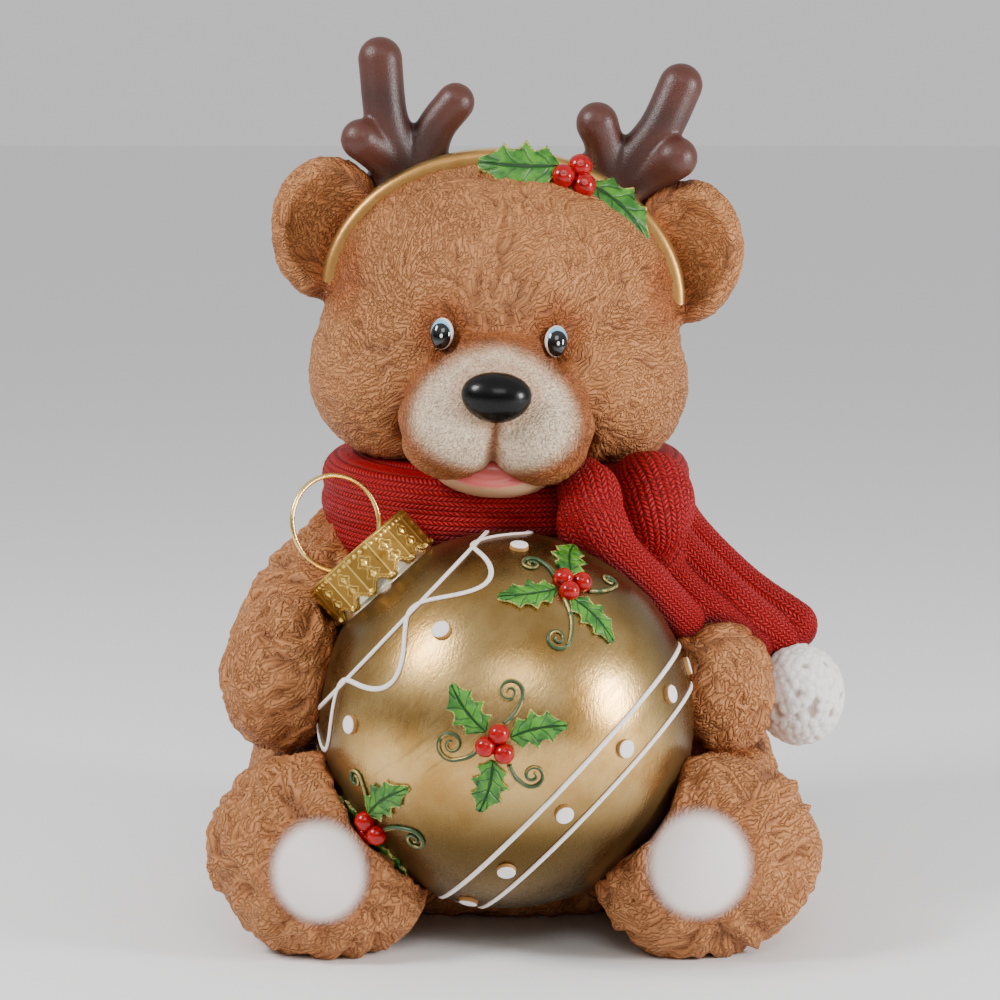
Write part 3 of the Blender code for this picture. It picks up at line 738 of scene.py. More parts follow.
@dataclass(frozen=True)
class FurCoat:
    """Carved fur: broad clumps, and fine locks that follow them.

    Args:
        clumps: how the broad clumps grow.
        locks: how the fine locks grow.
        clump_rise: height of a clump.
        rise: height of a lock.
        swirl: how far the flow wanders over the skin, in degrees.
        strands: grooved strands in a lock.
        seed: starts the random draws.
        wave_lengths: shortest and longest wave in which the flow wanders.
        waves: how many such waves are added.
        clump_floor: height of the skin between clumps, 0 to 1.
        lock_floor: height of the skin between locks, 0 to 1.
    """

    clumps: Locks
    locks: Locks
    clump_rise: float
    rise: float
    swirl: float
    strands: int = 2
    seed: int = 11
    wave_lengths: Row = (0.030, 0.062)
    waves: int = 6
    clump_floor: float = 0.30
    lock_floor: float = 0.34

    def swirled(self, points: np.ndarray, normals: np.ndarray, flow: np.ndarray,
                draw: np.random.Generator) -> np.ndarray:
        """Turns the flow by an angle that wanders smoothly over the skin.

        Args:
            points: the skin's vertices.
            normals: their normals.
            flow: direction in which the fur lies, for each vertex.
            draw: the random numbers.

        Returns:
            The turned flow.
        """
        level = unit(flow - normals * np.einsum("ij,ij->i", flow, normals)[:, None])
        lengths = np.linspace(*self.wave_lengths, self.waves)
        ways = unit(draw.normal(size=(self.waves, 3))) * (math.tau / lengths)[:, None]
        heights = np.sin(points @ ways.T + draw.uniform(0.0, math.tau, self.waves)).sum(axis=1)
        usual_height = 1.7
        angle = (math.radians(self.swirl) * heights / usual_height)[:, None]
        return level * np.cos(angle) + np.cross(normals, level) * np.sin(angle)

    def lay(self, piece: bpy.types.Object, flow: np.ndarray, amount: np.ndarray, size: np.ndarray) -> None:
        """Raises the fur.

        Args:
            piece: the skin. It gets the notes "relief" and "strand".
            flow: direction in which the fur lies, for each vertex.
            amount: share of the full rise, for each vertex.
            size: share of a fine lock's full size, for each vertex.
        """
        points = corners(piece)
        normals = corners(piece, "normal")
        draw = np.random.default_rng(self.seed)
        tree = KDTree(len(points))
        for number, point in enumerate(points):
            tree.insert(point, number)
        tree.balance()
        same = np.ones(len(points))
        way = self.swirled(points, normals, unit(flow), draw)
        clump, _, lie = self.clumps.grow(points, normals, tree, way, same, draw)
        relief, across, _ = self.locks.grow(points, normals, tree, unit(lie), size, draw)
        mound = soften(piece, np.maximum(clump, self.clump_floor), 2)
        relief = soften(piece, np.maximum(relief, self.lock_floor), 1, 0.15)
        height = soften(piece, relief, 1, 0.25)
        rise = (mound - 0.5) * self.clump_rise + (height - 0.55) * self.rise
        lifted = points + normals * (rise * amount)[:, None]
        lifted[:, 2] = np.maximum(lifted[:, 2], 0.0)
        move_corners(piece, lifted)
        crease = 0.72 * relief + 0.42 * mound
        bare = 0.4 * np.clip(0.65 - amount, 0, 1)
        note(piece, "relief", crease * np.minimum(1.0, 0.35 + amount) + bare)
        note(piece, "strand", (across + 1.0) * self.strands / 2)


@dataclass
class FurPart:
    """A part of the bear's skin: its form, and how fur and paint lie on it."""

    plan: Plan
    name: str
    voxel: float
    blur: int
    coat: FurCoat
    paint: FurPaint
    slot: Slot = Slot.FUR
    piece: Optional[bpy.types.Object] = None

    def model(self) -> None:
        """Builds the smooth form under the fur."""
        clay = Clay(self.name)
        self.shape(clay)
        self.piece = clay.sculpt(self.voxel, self.blur)
        points = corners(self.piece)
        points[:, 2] = np.maximum(points[:, 2], 0.0)
        move_corners(self.piece, points)

    def shape(self, clay: Clay) -> None:
        """Adds the lumps of the form."""
        raise NotImplementedError

    def flow(self, points: np.ndarray) -> np.ndarray:
        """Returns the direction in which fur lies at each point."""
        raise NotImplementedError

    def amount(self, points: np.ndarray) -> np.ndarray:
        """Returns how far locks rise at each point, 0 to 1."""
        return np.ones(len(points))

    def patch(self, points: np.ndarray, normals: np.ndarray) -> np.ndarray:
        """Returns where the pale patch is, 0 to 1."""
        return np.zeros(len(points))

    def accents(self, points: np.ndarray) -> np.ndarray:
        """Returns the airbrushed shade that belongs to the part itself, 0 to 1."""
        return np.zeros(len(points))

    def tree(self) -> BVHTree:
        """Returns a search tree of the part's surface."""
        return surface_tree(self.piece)

    def cover(self, neighbours: Sequence[BVHTree]) -> None:
        """Lays the fur and the paint.

        Args:
            neighbours: surfaces whose nearness darkens the fur with painted shade.
        """
        points = corners(self.piece)
        normals = corners(self.piece, "normal")
        hollow = soften(self.piece, points, 24) - points
        depth = np.einsum("ij,ij->i", hollow, normals)
        # Painted shade together with the brown airbrush: darker in hollows of the form and where another part comes
        # near.
        shade = 0.55 * ease(0.0006, 0.0035, depth)
        for tree in neighbours:
            shade = np.maximum(shade, nearness(tree, points, 0.010) * 0.42)
        shade = np.maximum(shade, self.accents(points))
        patch = self.patch(points, normals)
        size = 1.0 - 0.48 * patch
        amount = self.amount(points) * (1.0 - 0.9 * patch)
        self.coat.lay(self.piece, self.flow(points), amount, size)
        note(self.piece, "shade", shade)
        note(self.piece, "patch", patch)
        dress(self.piece, self.paint.material(), Node.BEAR, self.slot)


def surface_tree(piece: bpy.types.Object) -> BVHTree:
    """Returns a search tree of a piece's surface."""
    return BVHTree.FromObject(piece, bpy.context.evaluated_depsgraph_get())


def nearness(tree: BVHTree, points: np.ndarray, reach: float) -> np.ndarray:
    """Returns 1 where a point touches a surface and 0 where it is further off than reach."""
    values = np.zeros(len(points))
    for number, point in enumerate(points):
        distance = tree.find_nearest(point, reach)[3]
        if distance is not None:
            values[number] = 1.0 - distance / reach
    return values * values * (3.0 - 2.0 * values)


def beside_ball(plan: Plan, points: np.ndarray, gap: float = -0.0010) -> np.ndarray:
    """Moves points that lie in front of the bauble's outline to its edge, so it shows whole."""
    toward = np.array((0.0, -0.976, 0.218))
    offset = points - np.array(plan.ball_centre)
    ahead = offset @ toward
    level = offset - ahead[:, None] * toward
    reach = np.linalg.norm(level, axis=1)
    edge = plan.ball_radius + gap - np.clip(ahead, 0.0, None) * 0.045
    short = np.where(ahead > 0.0, np.clip(edge - reach, 0.0, None), 0.0)
    return points + level / np.maximum(reach, 1e-6)[:, None] * short[:, None]


def ring_zone(x: np.ndarray, z: np.ndarray, at: Row, radii: Row) -> np.ndarray:
    """Returns the distance from a point in a front view, where 1 is an ellipse about it."""
    return np.hypot((x - at[0]) / radii[0], (z - at[1]) / radii[1])


@dataclass
class Head(FurPart):
    """The bear's head with ears and muzzle."""

    muzzle_at: Row = (-1.0, -37.0)
    muzzle_radii: Row = (42.0, 32.0)
    eye_at: Row = (28.2, -3.6)
    socket_radii: Row = (7.0, 9.5)
    dimple_at: Row = (46.0, -53.0)
    nose_at: Row = (-0.5, -29.0)

    def local(self, points: np.ndarray) -> np.ndarray:
        """Returns points in the head's own frame, in shares."""
        return moved(points, self.plan.head.inverted()) / self.plan.share

    def shape(self, clay: Clay) -> None:
        """Adds skull, cheeks, muzzle and ears."""
        here = {"place": self.plan.head, "share": self.plan.share}
        clay.lump((0, 6, 12), (88, 82, 68), detail=5, **here)
        clay.lump((0, 4, -10), (93.5, 78, 58), detail=5, **here)
        clay.lump((0, 0, -38), (78, 70, 49), detail=5, **here)
        clay.lump((0, -72, -35), (45, 40, 34), detail=5, **here)
        for side in (-1.0, 1.0):
            clay.lump((side * 44.2, -6, -29), (53.5, 66, 49), detail=5, **here)
            clay.lump((side * 22, -87, -48), (27, 27, 26), (0, side * -20, 0), **here)
            self.ear(clay, side)

    def ear(self, clay: Clay, side: float) -> None:
        """Adds one round ear with a thick rim and a dished front."""
        share = self.plan.share
        place = self.plan.head @ Matrix.Translation(Vector((side * 92.5, 5.0, 40.0)) * share)
        place = place @ Matrix.Rotation(side * math.radians(-10), 4, "Z")
        part = clay.lump((0, 0, 0), (1, 1, 1), detail=6)
        x, y, z = corners(part).T
        reach = np.hypot(x * 1.02, z)
        dish = np.clip(1.0 - (reach / 0.76) ** 2, 0.0, None)
        front = np.where(reach > 0.7, 0.9, 1.0) * y + 1.25 * dish**0.7
        y = np.where(y < 0, front, y)
        move_corners(part, np.stack((x * 30, y * 15, z * 37.5), 1) * share)
        part.matrix_world = place

    def flow(self, points: np.ndarray) -> np.ndarray:
        """Fur lies away from the face."""
        centre = self.plan.head @ (Vector((0.0, -100.0, -20.0)) * self.plan.share)
        return points - np.array(centre)

    def muzzle_zone(self, points: np.ndarray) -> np.ndarray:
        """Returns the distance from the muzzle's middle, 1 at the patch's edge."""
        x, y, z = self.local(points).T
        t = (z - self.muzzle_at[1]) / self.muzzle_radii[1]
        width = self.muzzle_radii[0] * (1.0 - 0.18 * t)
        zone = np.hypot((x - self.muzzle_at[0]) / width, t)
        return np.where(y < -48.0, zone, 9.0)

    def amount(self, points: np.ndarray) -> np.ndarray:
        """Fur is low on the muzzle and round the eyes."""
        x, y, z = self.local(points).T
        eyes = np.minimum(
            ring_zone(x, z, (-self.eye_at[0], self.eye_at[1]), (10.0, 12.0)),
            ring_zone(x, z, self.eye_at, (10.0, 12.0)),
        )
        eyes = np.where(y < -40, ease(0.9, 1.8, eyes), 1.0)
        return 0.75 * ease(0.95, 1.4, self.muzzle_zone(points)) * (0.25 + 0.75 * eyes)

    def patch(self, points: np.ndarray, normals: np.ndarray) -> np.ndarray:
        """The muzzle is cream."""
        x, _, z = self.local(points).T
        line = np.exp(-(((x - self.nose_at[0]) / 3.2) ** 2)) * ease(-38.0, -44.0, z)
        return (1.0 - ease(0.80, 1.08, self.muzzle_zone(points))) * (1.0 - 0.55 * line)

    def accents(self, points: np.ndarray) -> np.ndarray:
        """Brown is airbrushed round eyes, muzzle, nose and ears; the pressed dimples are darkened with painted
        shade together with airbrushed brown.
        """
        x, y, z = self.local(points).T
        front = ease(-30.0, -50.0, y)
        shade = np.zeros(len(points))
        for side in (-1.0, 1.0):
            eye = ring_zone(x, z, (side * self.eye_at[0], self.eye_at[1] + 2), (19.0, 23.0))
            shade = np.maximum(shade, 0.38 * (1.0 - ease(0.35, 1.15, eye)) * front)
            inner = ring_zone(x, z, (side * 15.0, self.eye_at[1] - 1), (15.0, 12.0))
            shade = np.maximum(shade, 0.30 * (1.0 - ease(0.3, 1.2, inner)) * front)
            # The dimples are pressed pits; their dark is painted shade together with airbrushed brown.
            dimple = ring_zone(x, z, (side * self.dimple_at[0], self.dimple_at[1]), (7.0, 9.0))
            behind = ease(-88.0, -74.0, y)
            shade = np.maximum(shade, 0.72 * (1.0 - ease(0.2, 1.2, dimple)) * front * behind)
            ear = ring_zone(x, z, (side * 82.0, 20.0), (15.0, 26.0))
            shade = np.maximum(shade, 0.42 * (1.0 - ease(0.2, 1.2, ear)) * ease(8.0, -6.0, y))
        muzzle = self.muzzle_zone(points)
        rim = np.exp(-(((muzzle - 1.05) / 0.13) ** 2))
        shade = np.maximum(shade, 0.34 * rim)
        nose = ring_zone(x, z, self.nose_at, (20.0, 15.5))
        shade = np.maximum(shade, 0.26 * (1.0 - ease(0.9, 1.35, nose)) * front)
        line = np.exp(-(((x - self.nose_at[0]) / 2.6) ** 2)) * ease(-37.0, -42.0, z) * front
        return np.maximum(shade, 0.55 * line)

    def model(self) -> None:
        """Builds the form, then presses in eye sockets, dimples and the line under the nose."""
        super().model()
        points = corners(self.piece)
        normals = corners(self.piece, "normal")
        x, y, z = self.local(points).T
        front = y < -55.0
        press = 1.6 * np.exp(-(((x - self.nose_at[0]) / 2.2) ** 2)) * ease(-36, -44, z) * (y < -80)
        for side in (-1.0, 1.0):
            dimple = ring_zone(x, z, (side * self.dimple_at[0], self.dimple_at[1]), (5.0, 7.0))
            press = press + 2.2 * np.exp(-(dimple**2)) * front
        points[:, 1] += self.socket_depth(x, y, z) * self.plan.share
        move_corners(self.piece, points - normals * (press * self.plan.share)[:, None])

    def socket_depth(self, x: np.ndarray, y: np.ndarray, z: np.ndarray) -> np.ndarray:
        """Returns how far back each point goes, so that nothing stands before an eye."""
        depth = np.zeros(len(y))
        front = y < -40.0
        for side in (-1.0, 1.0):
            eye = ring_zone(x, z, (side * self.eye_at[0], self.eye_at[1]), self.socket_radii)
            level = y[(eye < 0.3) & front].mean() + 0.5
            depth += np.clip(level - y, 0.0, None) * ease(1.75, 0.95, eye) * front
        return depth


@dataclass
class Trunk(FurPart):
    """The bear's body behind the bauble."""

    def shape(self, clay: Clay) -> None:
        """Adds seat, belly, chest and neck."""
        here = {"place": self.plan.body, "share": self.plan.share, "detail": 5}
        clay.lump((5, 14, 62), (112, 88, 78), **here)
        clay.lump((4, 14, 130), (94, 76, 78), **here)
        clay.lump((3, 8, 180), (84, 60, 44), **here)
        clay.lump((3, 4, 214), (64, 58, 40), **here)
        clay.lump((5, -34, 12), (74, 46, 24), **here)

    def flow(self, points: np.ndarray) -> np.ndarray:
        """Fur lies down the back."""
        return np.tile((0.0, 0.1, -1.0), (len(points), 1))


@dataclass
class Arm(FurPart):
    """One arm with its paw on the bauble.

    Args:
        route: x, y, z and radius from the shoulder to the wrist, in shares.
        paw_way: from the bauble's centre to the paw.
        paw_reach: from the bauble's surface to the paw's centre, in shares.
        paw_radii: the paw's radii, in shares.
        lie: direction of the fur.
    """

    route: Sequence[Row] = ()
    paw_way: Row = (0.0, 0.0, 0.0)
    paw_reach: float = 0.0
    paw_radii: Row = (0.0, 0.0, 0.0)
    paw_turn: float = 0.0
    lie: Row = (0.0, 0.0, -1.0)

    def shape(self, clay: Clay) -> None:
        """Adds the arm and its paw."""
        plan = self.plan
        way = Vector(self.paw_way).normalized()
        paw = plan.ball_centre + way * (plan.ball_radius + self.paw_reach * plan.share)
        paw = (plan.body.inverted() @ paw) / plan.share
        clay.limb([*self.route, (*paw, 30)], plan.body, plan.share)
        clay.lump(paw, self.paw_radii, (0, self.paw_turn, 0), plan.body, plan.share)

    def flow(self, points: np.ndarray) -> np.ndarray:
        """Fur lies down and out along the arm."""
        return np.tile(self.lie, (len(points), 1))


@dataclass
class Leg(FurPart):
    """One leg with its foot and the bare sole.

    Args:
        route: x, y, z and radius along the leg, in shares.
        foot_at: the foot's centre, in shares.
        foot_turn: degrees about X, Y and Z.
        sole_at: x and z of the sole's middle, in shares.
        sole_radii: half its width and half its height, in shares.
    """

    route: Sequence[Row] = ()
    foot_at: Row = (0.0, 0.0, 0.0)
    foot_turn: Row = (0.0, 0.0, 0.0)
    sole_at: Row = (0.0, 0.0)
    sole_radii: Row = (22.0, 24.0)

    def shape(self, clay: Clay) -> None:
        """Adds the leg and the foot."""
        here = {"place": self.plan.body, "share": self.plan.share}
        clay.limb(self.route, self.plan.body, self.plan.share)
        clay.lump(self.foot_at, (55, 36, 48), self.foot_turn, detail=5, **here)

    def local(self, points: np.ndarray) -> np.ndarray:
        """Returns points in the body's frame, in shares."""
        return moved(points, self.plan.body.inverted()) / self.plan.share

    def model(self) -> None:
        """Builds the form, then presses it against the bauble's side."""
        super().model()
        points = beside_ball(self.plan, corners(self.piece))
        points = soften(self.piece, points, 3)
        points[:, 2] = np.maximum(points[:, 2], 0.0)
        move_corners(self.piece, points)

    def flow(self, points: np.ndarray) -> np.ndarray:
        """Fur lies away from the sole on the foot, and down on the leg."""
        local = self.local(points)
        sole = np.array((self.sole_at[0], -160.0, self.sole_at[1]))
        away = unit(local - sole)
        far = ease(60.0, 90.0, np.linalg.norm(local - sole, axis=1))[:, None]
        return away * (1.0 - far) + np.array((0.0, 0.15, -1.0)) * far

    def patch(self, points: np.ndarray, normals: np.ndarray) -> np.ndarray:
        """The sole is bare and white."""
        x, y, z = self.local(points).T
        zone = ring_zone(x, z, self.sole_at, self.sole_radii)
        return (1.0 - ease(0.80, 1.12, zone)) * (y < -125.0)

    def amount(self, points: np.ndarray) -> np.ndarray:
        """Fur starts a little way from the sole."""
        x, y, z = self.local(points).T
        zone = ring_zone(x, z, self.sole_at, self.sole_radii)
        return np.where(y < -125.0, ease(0.95, 1.25, zone), 1.0)

    def accents(self, points: np.ndarray) -> np.ndarray:
        """A tan edge is airbrushed round the sole."""
        x, y, z = self.local(points).T
        zone = ring_zone(x, z, self.sole_at, self.sole_radii)
        return 0.22 * np.exp(-(((zone - 1.02) / 0.16) ** 2)) * (y < -125.0)


@dataclass(frozen=True)
class KnitPaint:
    """Red paint over carved stitches, dark in the grooves as a wash that is also painted shade, and pale on top as
    drybrush that is also a painted highlight.
    """

    name: str = "scarf_red"
    red: Colour = paint(156, 2, 7)
    groove: Colour = paint(60, 1, 4)
    # Pale colour of the stitch tops: drybrushed paint that is also a painted highlight.
    rubbed: Colour = paint(206, 74, 76)
    column: float = 4.9
    pitch: float = 2.4

    def rib(self, across: np.ndarray) -> np.ndarray:
        """Returns the height of the ribs of stitches, 0 to 1, at places in shares."""
        side = np.abs(2.0 * np.mod(across / self.column, 1.0) - 1.0)
        return np.sin(np.pi * np.clip(side, 0.02, 0.98)) ** 0.5

    def material(self) -> bpy.types.Material:
        """Builds the material."""
        desk = Desk(self.name)
        side = abs((desk.noted("across") / self.column).fraction() * 2.0 - 1.0)
        leg = abs(((desk.noted("along") / self.pitch + side * 0.95) * math.pi).sine())
        body = (side * math.pi).sine().most(0.0) ** 0.5
        height = leg ** 0.7 * body
        patchy = desk.noise(0.012, 3.0)
        fine = desk.noise(0.0010, 2.0)
        shade = desk.noted("shade")
        # Stitch grooves take the dark colour as a wash that is also painted shade; the noted shade adds painted
        # shade in folds and where other parts come near.
        low = (1.0 - height.step(0.10, 0.62)) * 0.85
        tone = desk.mix(low.most(shade), self.red, self.groove)
        # Pale stitch tops: drybrushed paint that is also a painted highlight.
        top = height.step(0.80, 0.98) * fine.step(0.45, 0.62) * patchy.step(0.35, 0.62)
        colour = desk.mix(top * 0.62 * (1.0 - shade), tone, self.rubbed)
        return desk.finish(
            Base_Color=colour, Roughness=0.5 + fine * 0.15, Specular_IOR_Level=0.22,
            Normal=desk.bump(height + fine * 0.12, 0.0008),
        )


@dataclass
class Scarf:
    """The knitted scarf: its wrap round the neck, its knot and its tail."""

    plan: Plan
    paint: KnitPaint = KnitPaint()
    neck_at: Row = (3.0, 6.0, 205.0)
    neck_radii: Row = (84.0, 80.0)
    neck_lift: float = 5.0
    ribs: Sequence[Row] = ((12.0, 12.0), (-1.0, 12.5), (-14.0, 12.0))
    fill: Row = (12.0, 72.0, 68.0, 15.0)
    stitch_rise: float = 0.0007
    strips: Sequence[Sequence[Row]] = (
        ((40, -84, 224, 13), (46, -93, 208, 15), (56, -92, 190, 13), (74, -84, 171, 12), (92, -74, 153, 10)),
        ((71, -60, 221, 15), (76, -72, 209, 19), (77, -70, 195, 13), (72, -66, 186, 9)),
        ((82, -30, 208, 14), (96, -24, 188, 13), (123, -26, 160, 14), (150, -34, 143, 13)),
        ((80, -45, 196, 12), (97, -46, 178, 11), (120, -48, 154, 13), (141, -42, 138, 12)),
        ((74, -56, 188, 11), (90, -60, 168, 10), (110, -60, 151, 10), (128, -54, 135, 10)),
    )
    pieces: list[bpy.types.Object] = field(default_factory=list)

    def model(self) -> None:
        """Builds the smooth forms of the wrap and of the knot with its tail."""
        share = self.plan.share
        here = {"place": self.plan.body, "share": share}
        wrap = Clay("scarf_wrap")
        tilt = math.atan2(-self.neck_lift, self.neck_radii[1])
        for drop, radius in self.ribs:
            bpy.ops.mesh.primitive_torus_add(
                major_segments=96, minor_segments=24, major_radius=1.0, minor_radius=radius / self.neck_radii[0],
            )
            x, y, z = self.neck_at
            stand = Matrix.Translation(Vector((x, y, z + drop)) * share) @ Matrix.Rotation(-tilt, 4, "X")
            size = Matrix.Diagonal((*[r * share for r in (*self.neck_radii, self.neck_radii[0])], 1.0))
            wrap.keep(self.plan.body @ stand @ size)
        bpy.ops.mesh.primitive_torus_add(
            major_segments=96, minor_segments=24, major_radius=1.0, minor_radius=self.fill[3] / self.fill[1],
        )
        fill_at = Matrix.Translation(Vector((x, y, z + self.fill[0])) * share) @ Matrix.Rotation(-tilt, 4, "X")
        size = Matrix.Diagonal((*[r * share for r in (self.fill[1], self.fill[2], self.fill[1])], 1.0))
        wrap.keep(self.plan.body @ fill_at @ size)
        self.pieces.append(wrap.sculpt(1.55 * share, 8))
        knot = Clay("scarf_knot")
        for strip in self.strips:
            knot.limb(strip, self.plan.body, share, 7)
        knot.lump((44, -90, 208), (16, 14, 26), (0, 8, 0), **here)
        knot.lump((77, -66, 212), (20, 20, 25), (0, -10, 0), **here)
        knot.lump((74, -50, 182), (20, 24, 26), **here)
        self.pieces.append(knot.sculpt(1.1 * share, 11))

    def wrap_layout(self, local: np.ndarray) -> tuple[np.ndarray, np.ndarray]:
        """Returns places across and along the wrap, in shares."""
        x, y, z = (local - np.array(self.neck_at)).T
        angle = np.arctan2(y / self.neck_radii[1], x / self.neck_radii[0])
        level = z - self.neck_lift * np.sin(angle)
        stitches = round(math.tau * self.neck_radii[0] / self.paint.pitch)
        return level + 1.5, angle / math.tau * stitches * self.paint.pitch

    def strip_layout(self, local: np.ndarray) -> tuple[np.ndarray, np.ndarray]:
        """Returns places across and along the nearest strip of the knot, in shares."""
        best = np.full(len(local), 1e9)
        across = np.zeros(len(local))
        along = np.zeros(len(local))
        for strip in self.strips:
            route = smooth_route(strip, 8)
            run = np.concatenate(([0.0], np.cumsum(np.linalg.norm(np.diff(route[:, :3], axis=0), axis=1))))
            for start, end, begun in zip(route, route[1:], run):
                way = end[:3] - start[:3]
                length = np.linalg.norm(way)
                offset = local - start[:3]
                t = np.clip(offset @ way / length**2, 0.0, 1.0)
                gap = offset - t[:, None] * way
                radius = start[3] + (end[3] - start[3]) * t
                distance = np.linalg.norm(gap, axis=1)
                wins = distance / radius < best
                front = np.array((0.0, -1.0, 0.25))
                front = unit((front - way * front.dot(way) / length**2)[None])[0]
                side = np.cross(way / length, front)
                angle = np.arctan2(gap @ side, gap @ front)
                best = np.where(wins, distance / radius, best)
                across = np.where(wins, angle * 13.0, across)
                along = np.where(wins, begun + offset @ way / length, along)
        return across, along

    def finish(self, neighbours: Sequence[BVHTree]) -> None:
        """Carves the stitches and paints them, with painted shade in the folds and where head, arm and ball come
        near.
        """
        material = self.paint.material()
        for piece, layout in zip(self.pieces, (self.wrap_layout, self.strip_layout)):
            points = corners(piece)
            normals = corners(piece, "normal")
            local = moved(points, self.plan.body.inverted()) / self.plan.share
            across, along = layout(local)
            # Painted shade: darker in the knit's folds and where head, arm and ball come near.
            hollow = np.einsum("ij,ij->i", soften(piece, points, 40) - points, normals)
            shade = 0.75 * ease(0.0003, 0.0022, hollow)
            for tree in neighbours:
                shade = np.maximum(shade, nearness(tree, points, 0.007) * 0.7)
            height = self.paint.rib(across)
            move_corners(piece, points + normals * ((height - 0.5) * self.stitch_rise)[:, None])
            note(piece, "across", across)
            note(piece, "along", along)
            note(piece, "shade", shade)
            dress(piece, material, Node.BEAR, Slot.KNIT)


@dataclass(frozen=True)
class PompomPaint:
    """Off-white curls, with beige in the hollows between them as painted shade."""

    name: str = "pompom_white"
    white: Colour = paint(236, 232, 228)
    hollow: Colour = paint(150, 128, 108)

    def material(self) -> bpy.types.Material:
        """Builds the material."""
        desk = Desk(self.name)
        relief = desk.noted("relief")
        fine = desk.noise(0.0012, 3.0)
        # Beige in the hollows between curls: painted shade.
        share = (1.0 - relief.step(0.05, 0.55)) * 0.8
        colour = desk.mix(share, self.white, self.hollow)
        return desk.finish(
            Base_Color=colour, Roughness=0.6, Specular_IOR_Level=0.3, Normal=desk.bump(fine, 0.0004),
        )


@dataclass
class Pompom:
    """The curly ball at the end of the scarf."""

    plan: Plan
    centre: Row = (152.0, -54.0, 111.0)
    radius: float = 22.5
    curl: float = 3.3
    rise: float = 2.6

    def build(self) -> None:
        """Models the ball and rolls curls over it."""
        clay = Clay("pompom")
        share = self.plan.share
        radii = (self.radius, self.radius, self.radius * 1.14)
        clay.lump(self.centre, radii, place=self.plan.body, share=share, detail=6)
        piece = clay.joined()
        points = corners(piece)
        normals = corners(piece, "normal")
        local = moved(points, self.plan.body.inverted()) / share
        draw = np.random.default_rng(5)
        tree = KDTree(len(local))
        for number, point in enumerate(local):
            tree.insert(point, number)
        tree.balance()
        relief = np.zeros(len(local))
        for root in draw.permutation(len(local))[:700]:
            side = unit(np.cross(normals[root], draw.normal(size=3))[None])[0]
            ahead = np.cross(normals[root], side)
            turn = draw.choice((-1.0, 1.0))
            near = np.array([hit[1] for hit in tree.find_range(local[root], self.curl)], int)
            offset = local[near] - local[root]
            x, y = offset @ side, offset @ ahead
            reach = np.hypot(x, y) / self.curl
            swirl = np.abs(np.sin(np.arctan2(y, x) * turn + reach * 7.0))
            value = (1.0 - reach**2) * 0.45 + 0.55 * swirl * (1.0 - reach**4)
            relief[near] = np.maximum(relief[near] * 0.72, value)
        relief = soften(piece, relief, 2)
        move_corners(piece, points + normals * ((relief - 0.5) * self.rise * share)[:, None])
        note(piece, "relief", relief)
        dress(piece, PompomPaint().material(), Node.BEAR, Slot.WHITE)


@dataclass(frozen=True)
class AntlerPaint:
    """Dark brown satin paint, redder on the tips and darker in its hollows as painted shade; a fine grain in its
    roughness breaks the sheen into specks.
    """

    name: str = "antler_brown"
    brown: Colour = paint(48, 24, 20)
    dark: Colour = paint(27, 13, 11)
    tip: Colour = paint(86, 42, 29)

    def material(self) -> bpy.types.Material:
        """Builds the material."""
        desk = Desk(self.name)
        shade = desk.noted("shade")
        cloud = desk.noise(0.016, 3.0)
        grain = desk.noise(0.0009, 2.0)
        tone = desk.mix(desk.noted("tip") * 0.75 + cloud * 0.25, self.brown, self.tip)
        # The noted shade darkens the hollows: painted shade.
        colour = desk.mix(shade, tone, self.dark)
        return desk.finish(
            Base_Color=colour, Roughness=0.30 + grain * 0.25, Specular_IOR_Level=0.5,
            Normal=desk.bump(grain * 0.7 + cloud * 0.3, 0.00025),
        )


@dataclass
class Antlers:
    """Two soft three-pronged antlers that stand on the headband."""

    plan: Plan
    left: Sequence[Sequence[Row]] = (
        ((-50, 18, 62, 13), (-60, 14, 80, 13.4), (-66.5, 8, 100, 11.6), (-71, 8, 128.5, 11.6)),
        ((-48, 18, 70, 13), (-41, 11, 94, 10.4), (-31, 8, 109, 10.2)),
        ((-56, 17, 70, 13), (-67, 9, 80, 11.5), (-78, 0, 87, 10.8)),
    )
    right: Sequence[Sequence[Row]] = (
        ((50, 18, 62, 13), (62, 14, 82, 12.6), (75, 8, 102, 11.6), (84, 8, 125, 11.6)),
        ((52, 18, 68, 13), (47, 11, 92, 10.4), (42.5, 8, 103, 11.2)),
        ((58, 17, 68, 13), (73, 9, 80, 11.2), (84, 0, 88, 11.2)),
    )
    pieces: list[bpy.types.Object] = field(default_factory=list)

    def model(self) -> None:
        """Builds both antlers."""
        for name, side, tines in (("antler_left", -1, self.left), ("antler_right", 1, self.right)):
            clay = Clay(name)
            for tine in tines:
                clay.limb(tine, self.plan.head, self.plan.share, 7)
            clay.lump((side * 54, 17, 72), (24, 14, 14), (0, side * 30, 0), self.plan.head, self.plan.share)
            self.pieces.append(clay.sculpt(1.5 * self.plan.share, 7))

    def finish(self) -> None:
        """Paints both antlers, with painted shade in their hollows."""
        material = AntlerPaint().material()
        for piece, tines in zip(self.pieces, (self.left, self.right)):
            points = corners(piece)
            hollow = np.einsum("ij,ij->i", soften(piece, points, 40) - points, corners(piece, "normal"))
            local = moved(points, self.plan.head.inverted()) / self.plan.share
            tip = np.zeros(len(points))
            for tine in tines:
                end = np.array(tine[-1][:3], float)
                tip = np.maximum(tip, ease(26.0, 4.0, np.linalg.norm(local - end, axis=1)))
            # Painted shade: darker where the antler is hollow, as in the forks between tines.
            note(piece, "shade", ease(0.0003, 0.002, hollow))
            note(piece, "tip", tip)
            dress(piece, material, Node.BEAR, Slot.ANTLER)


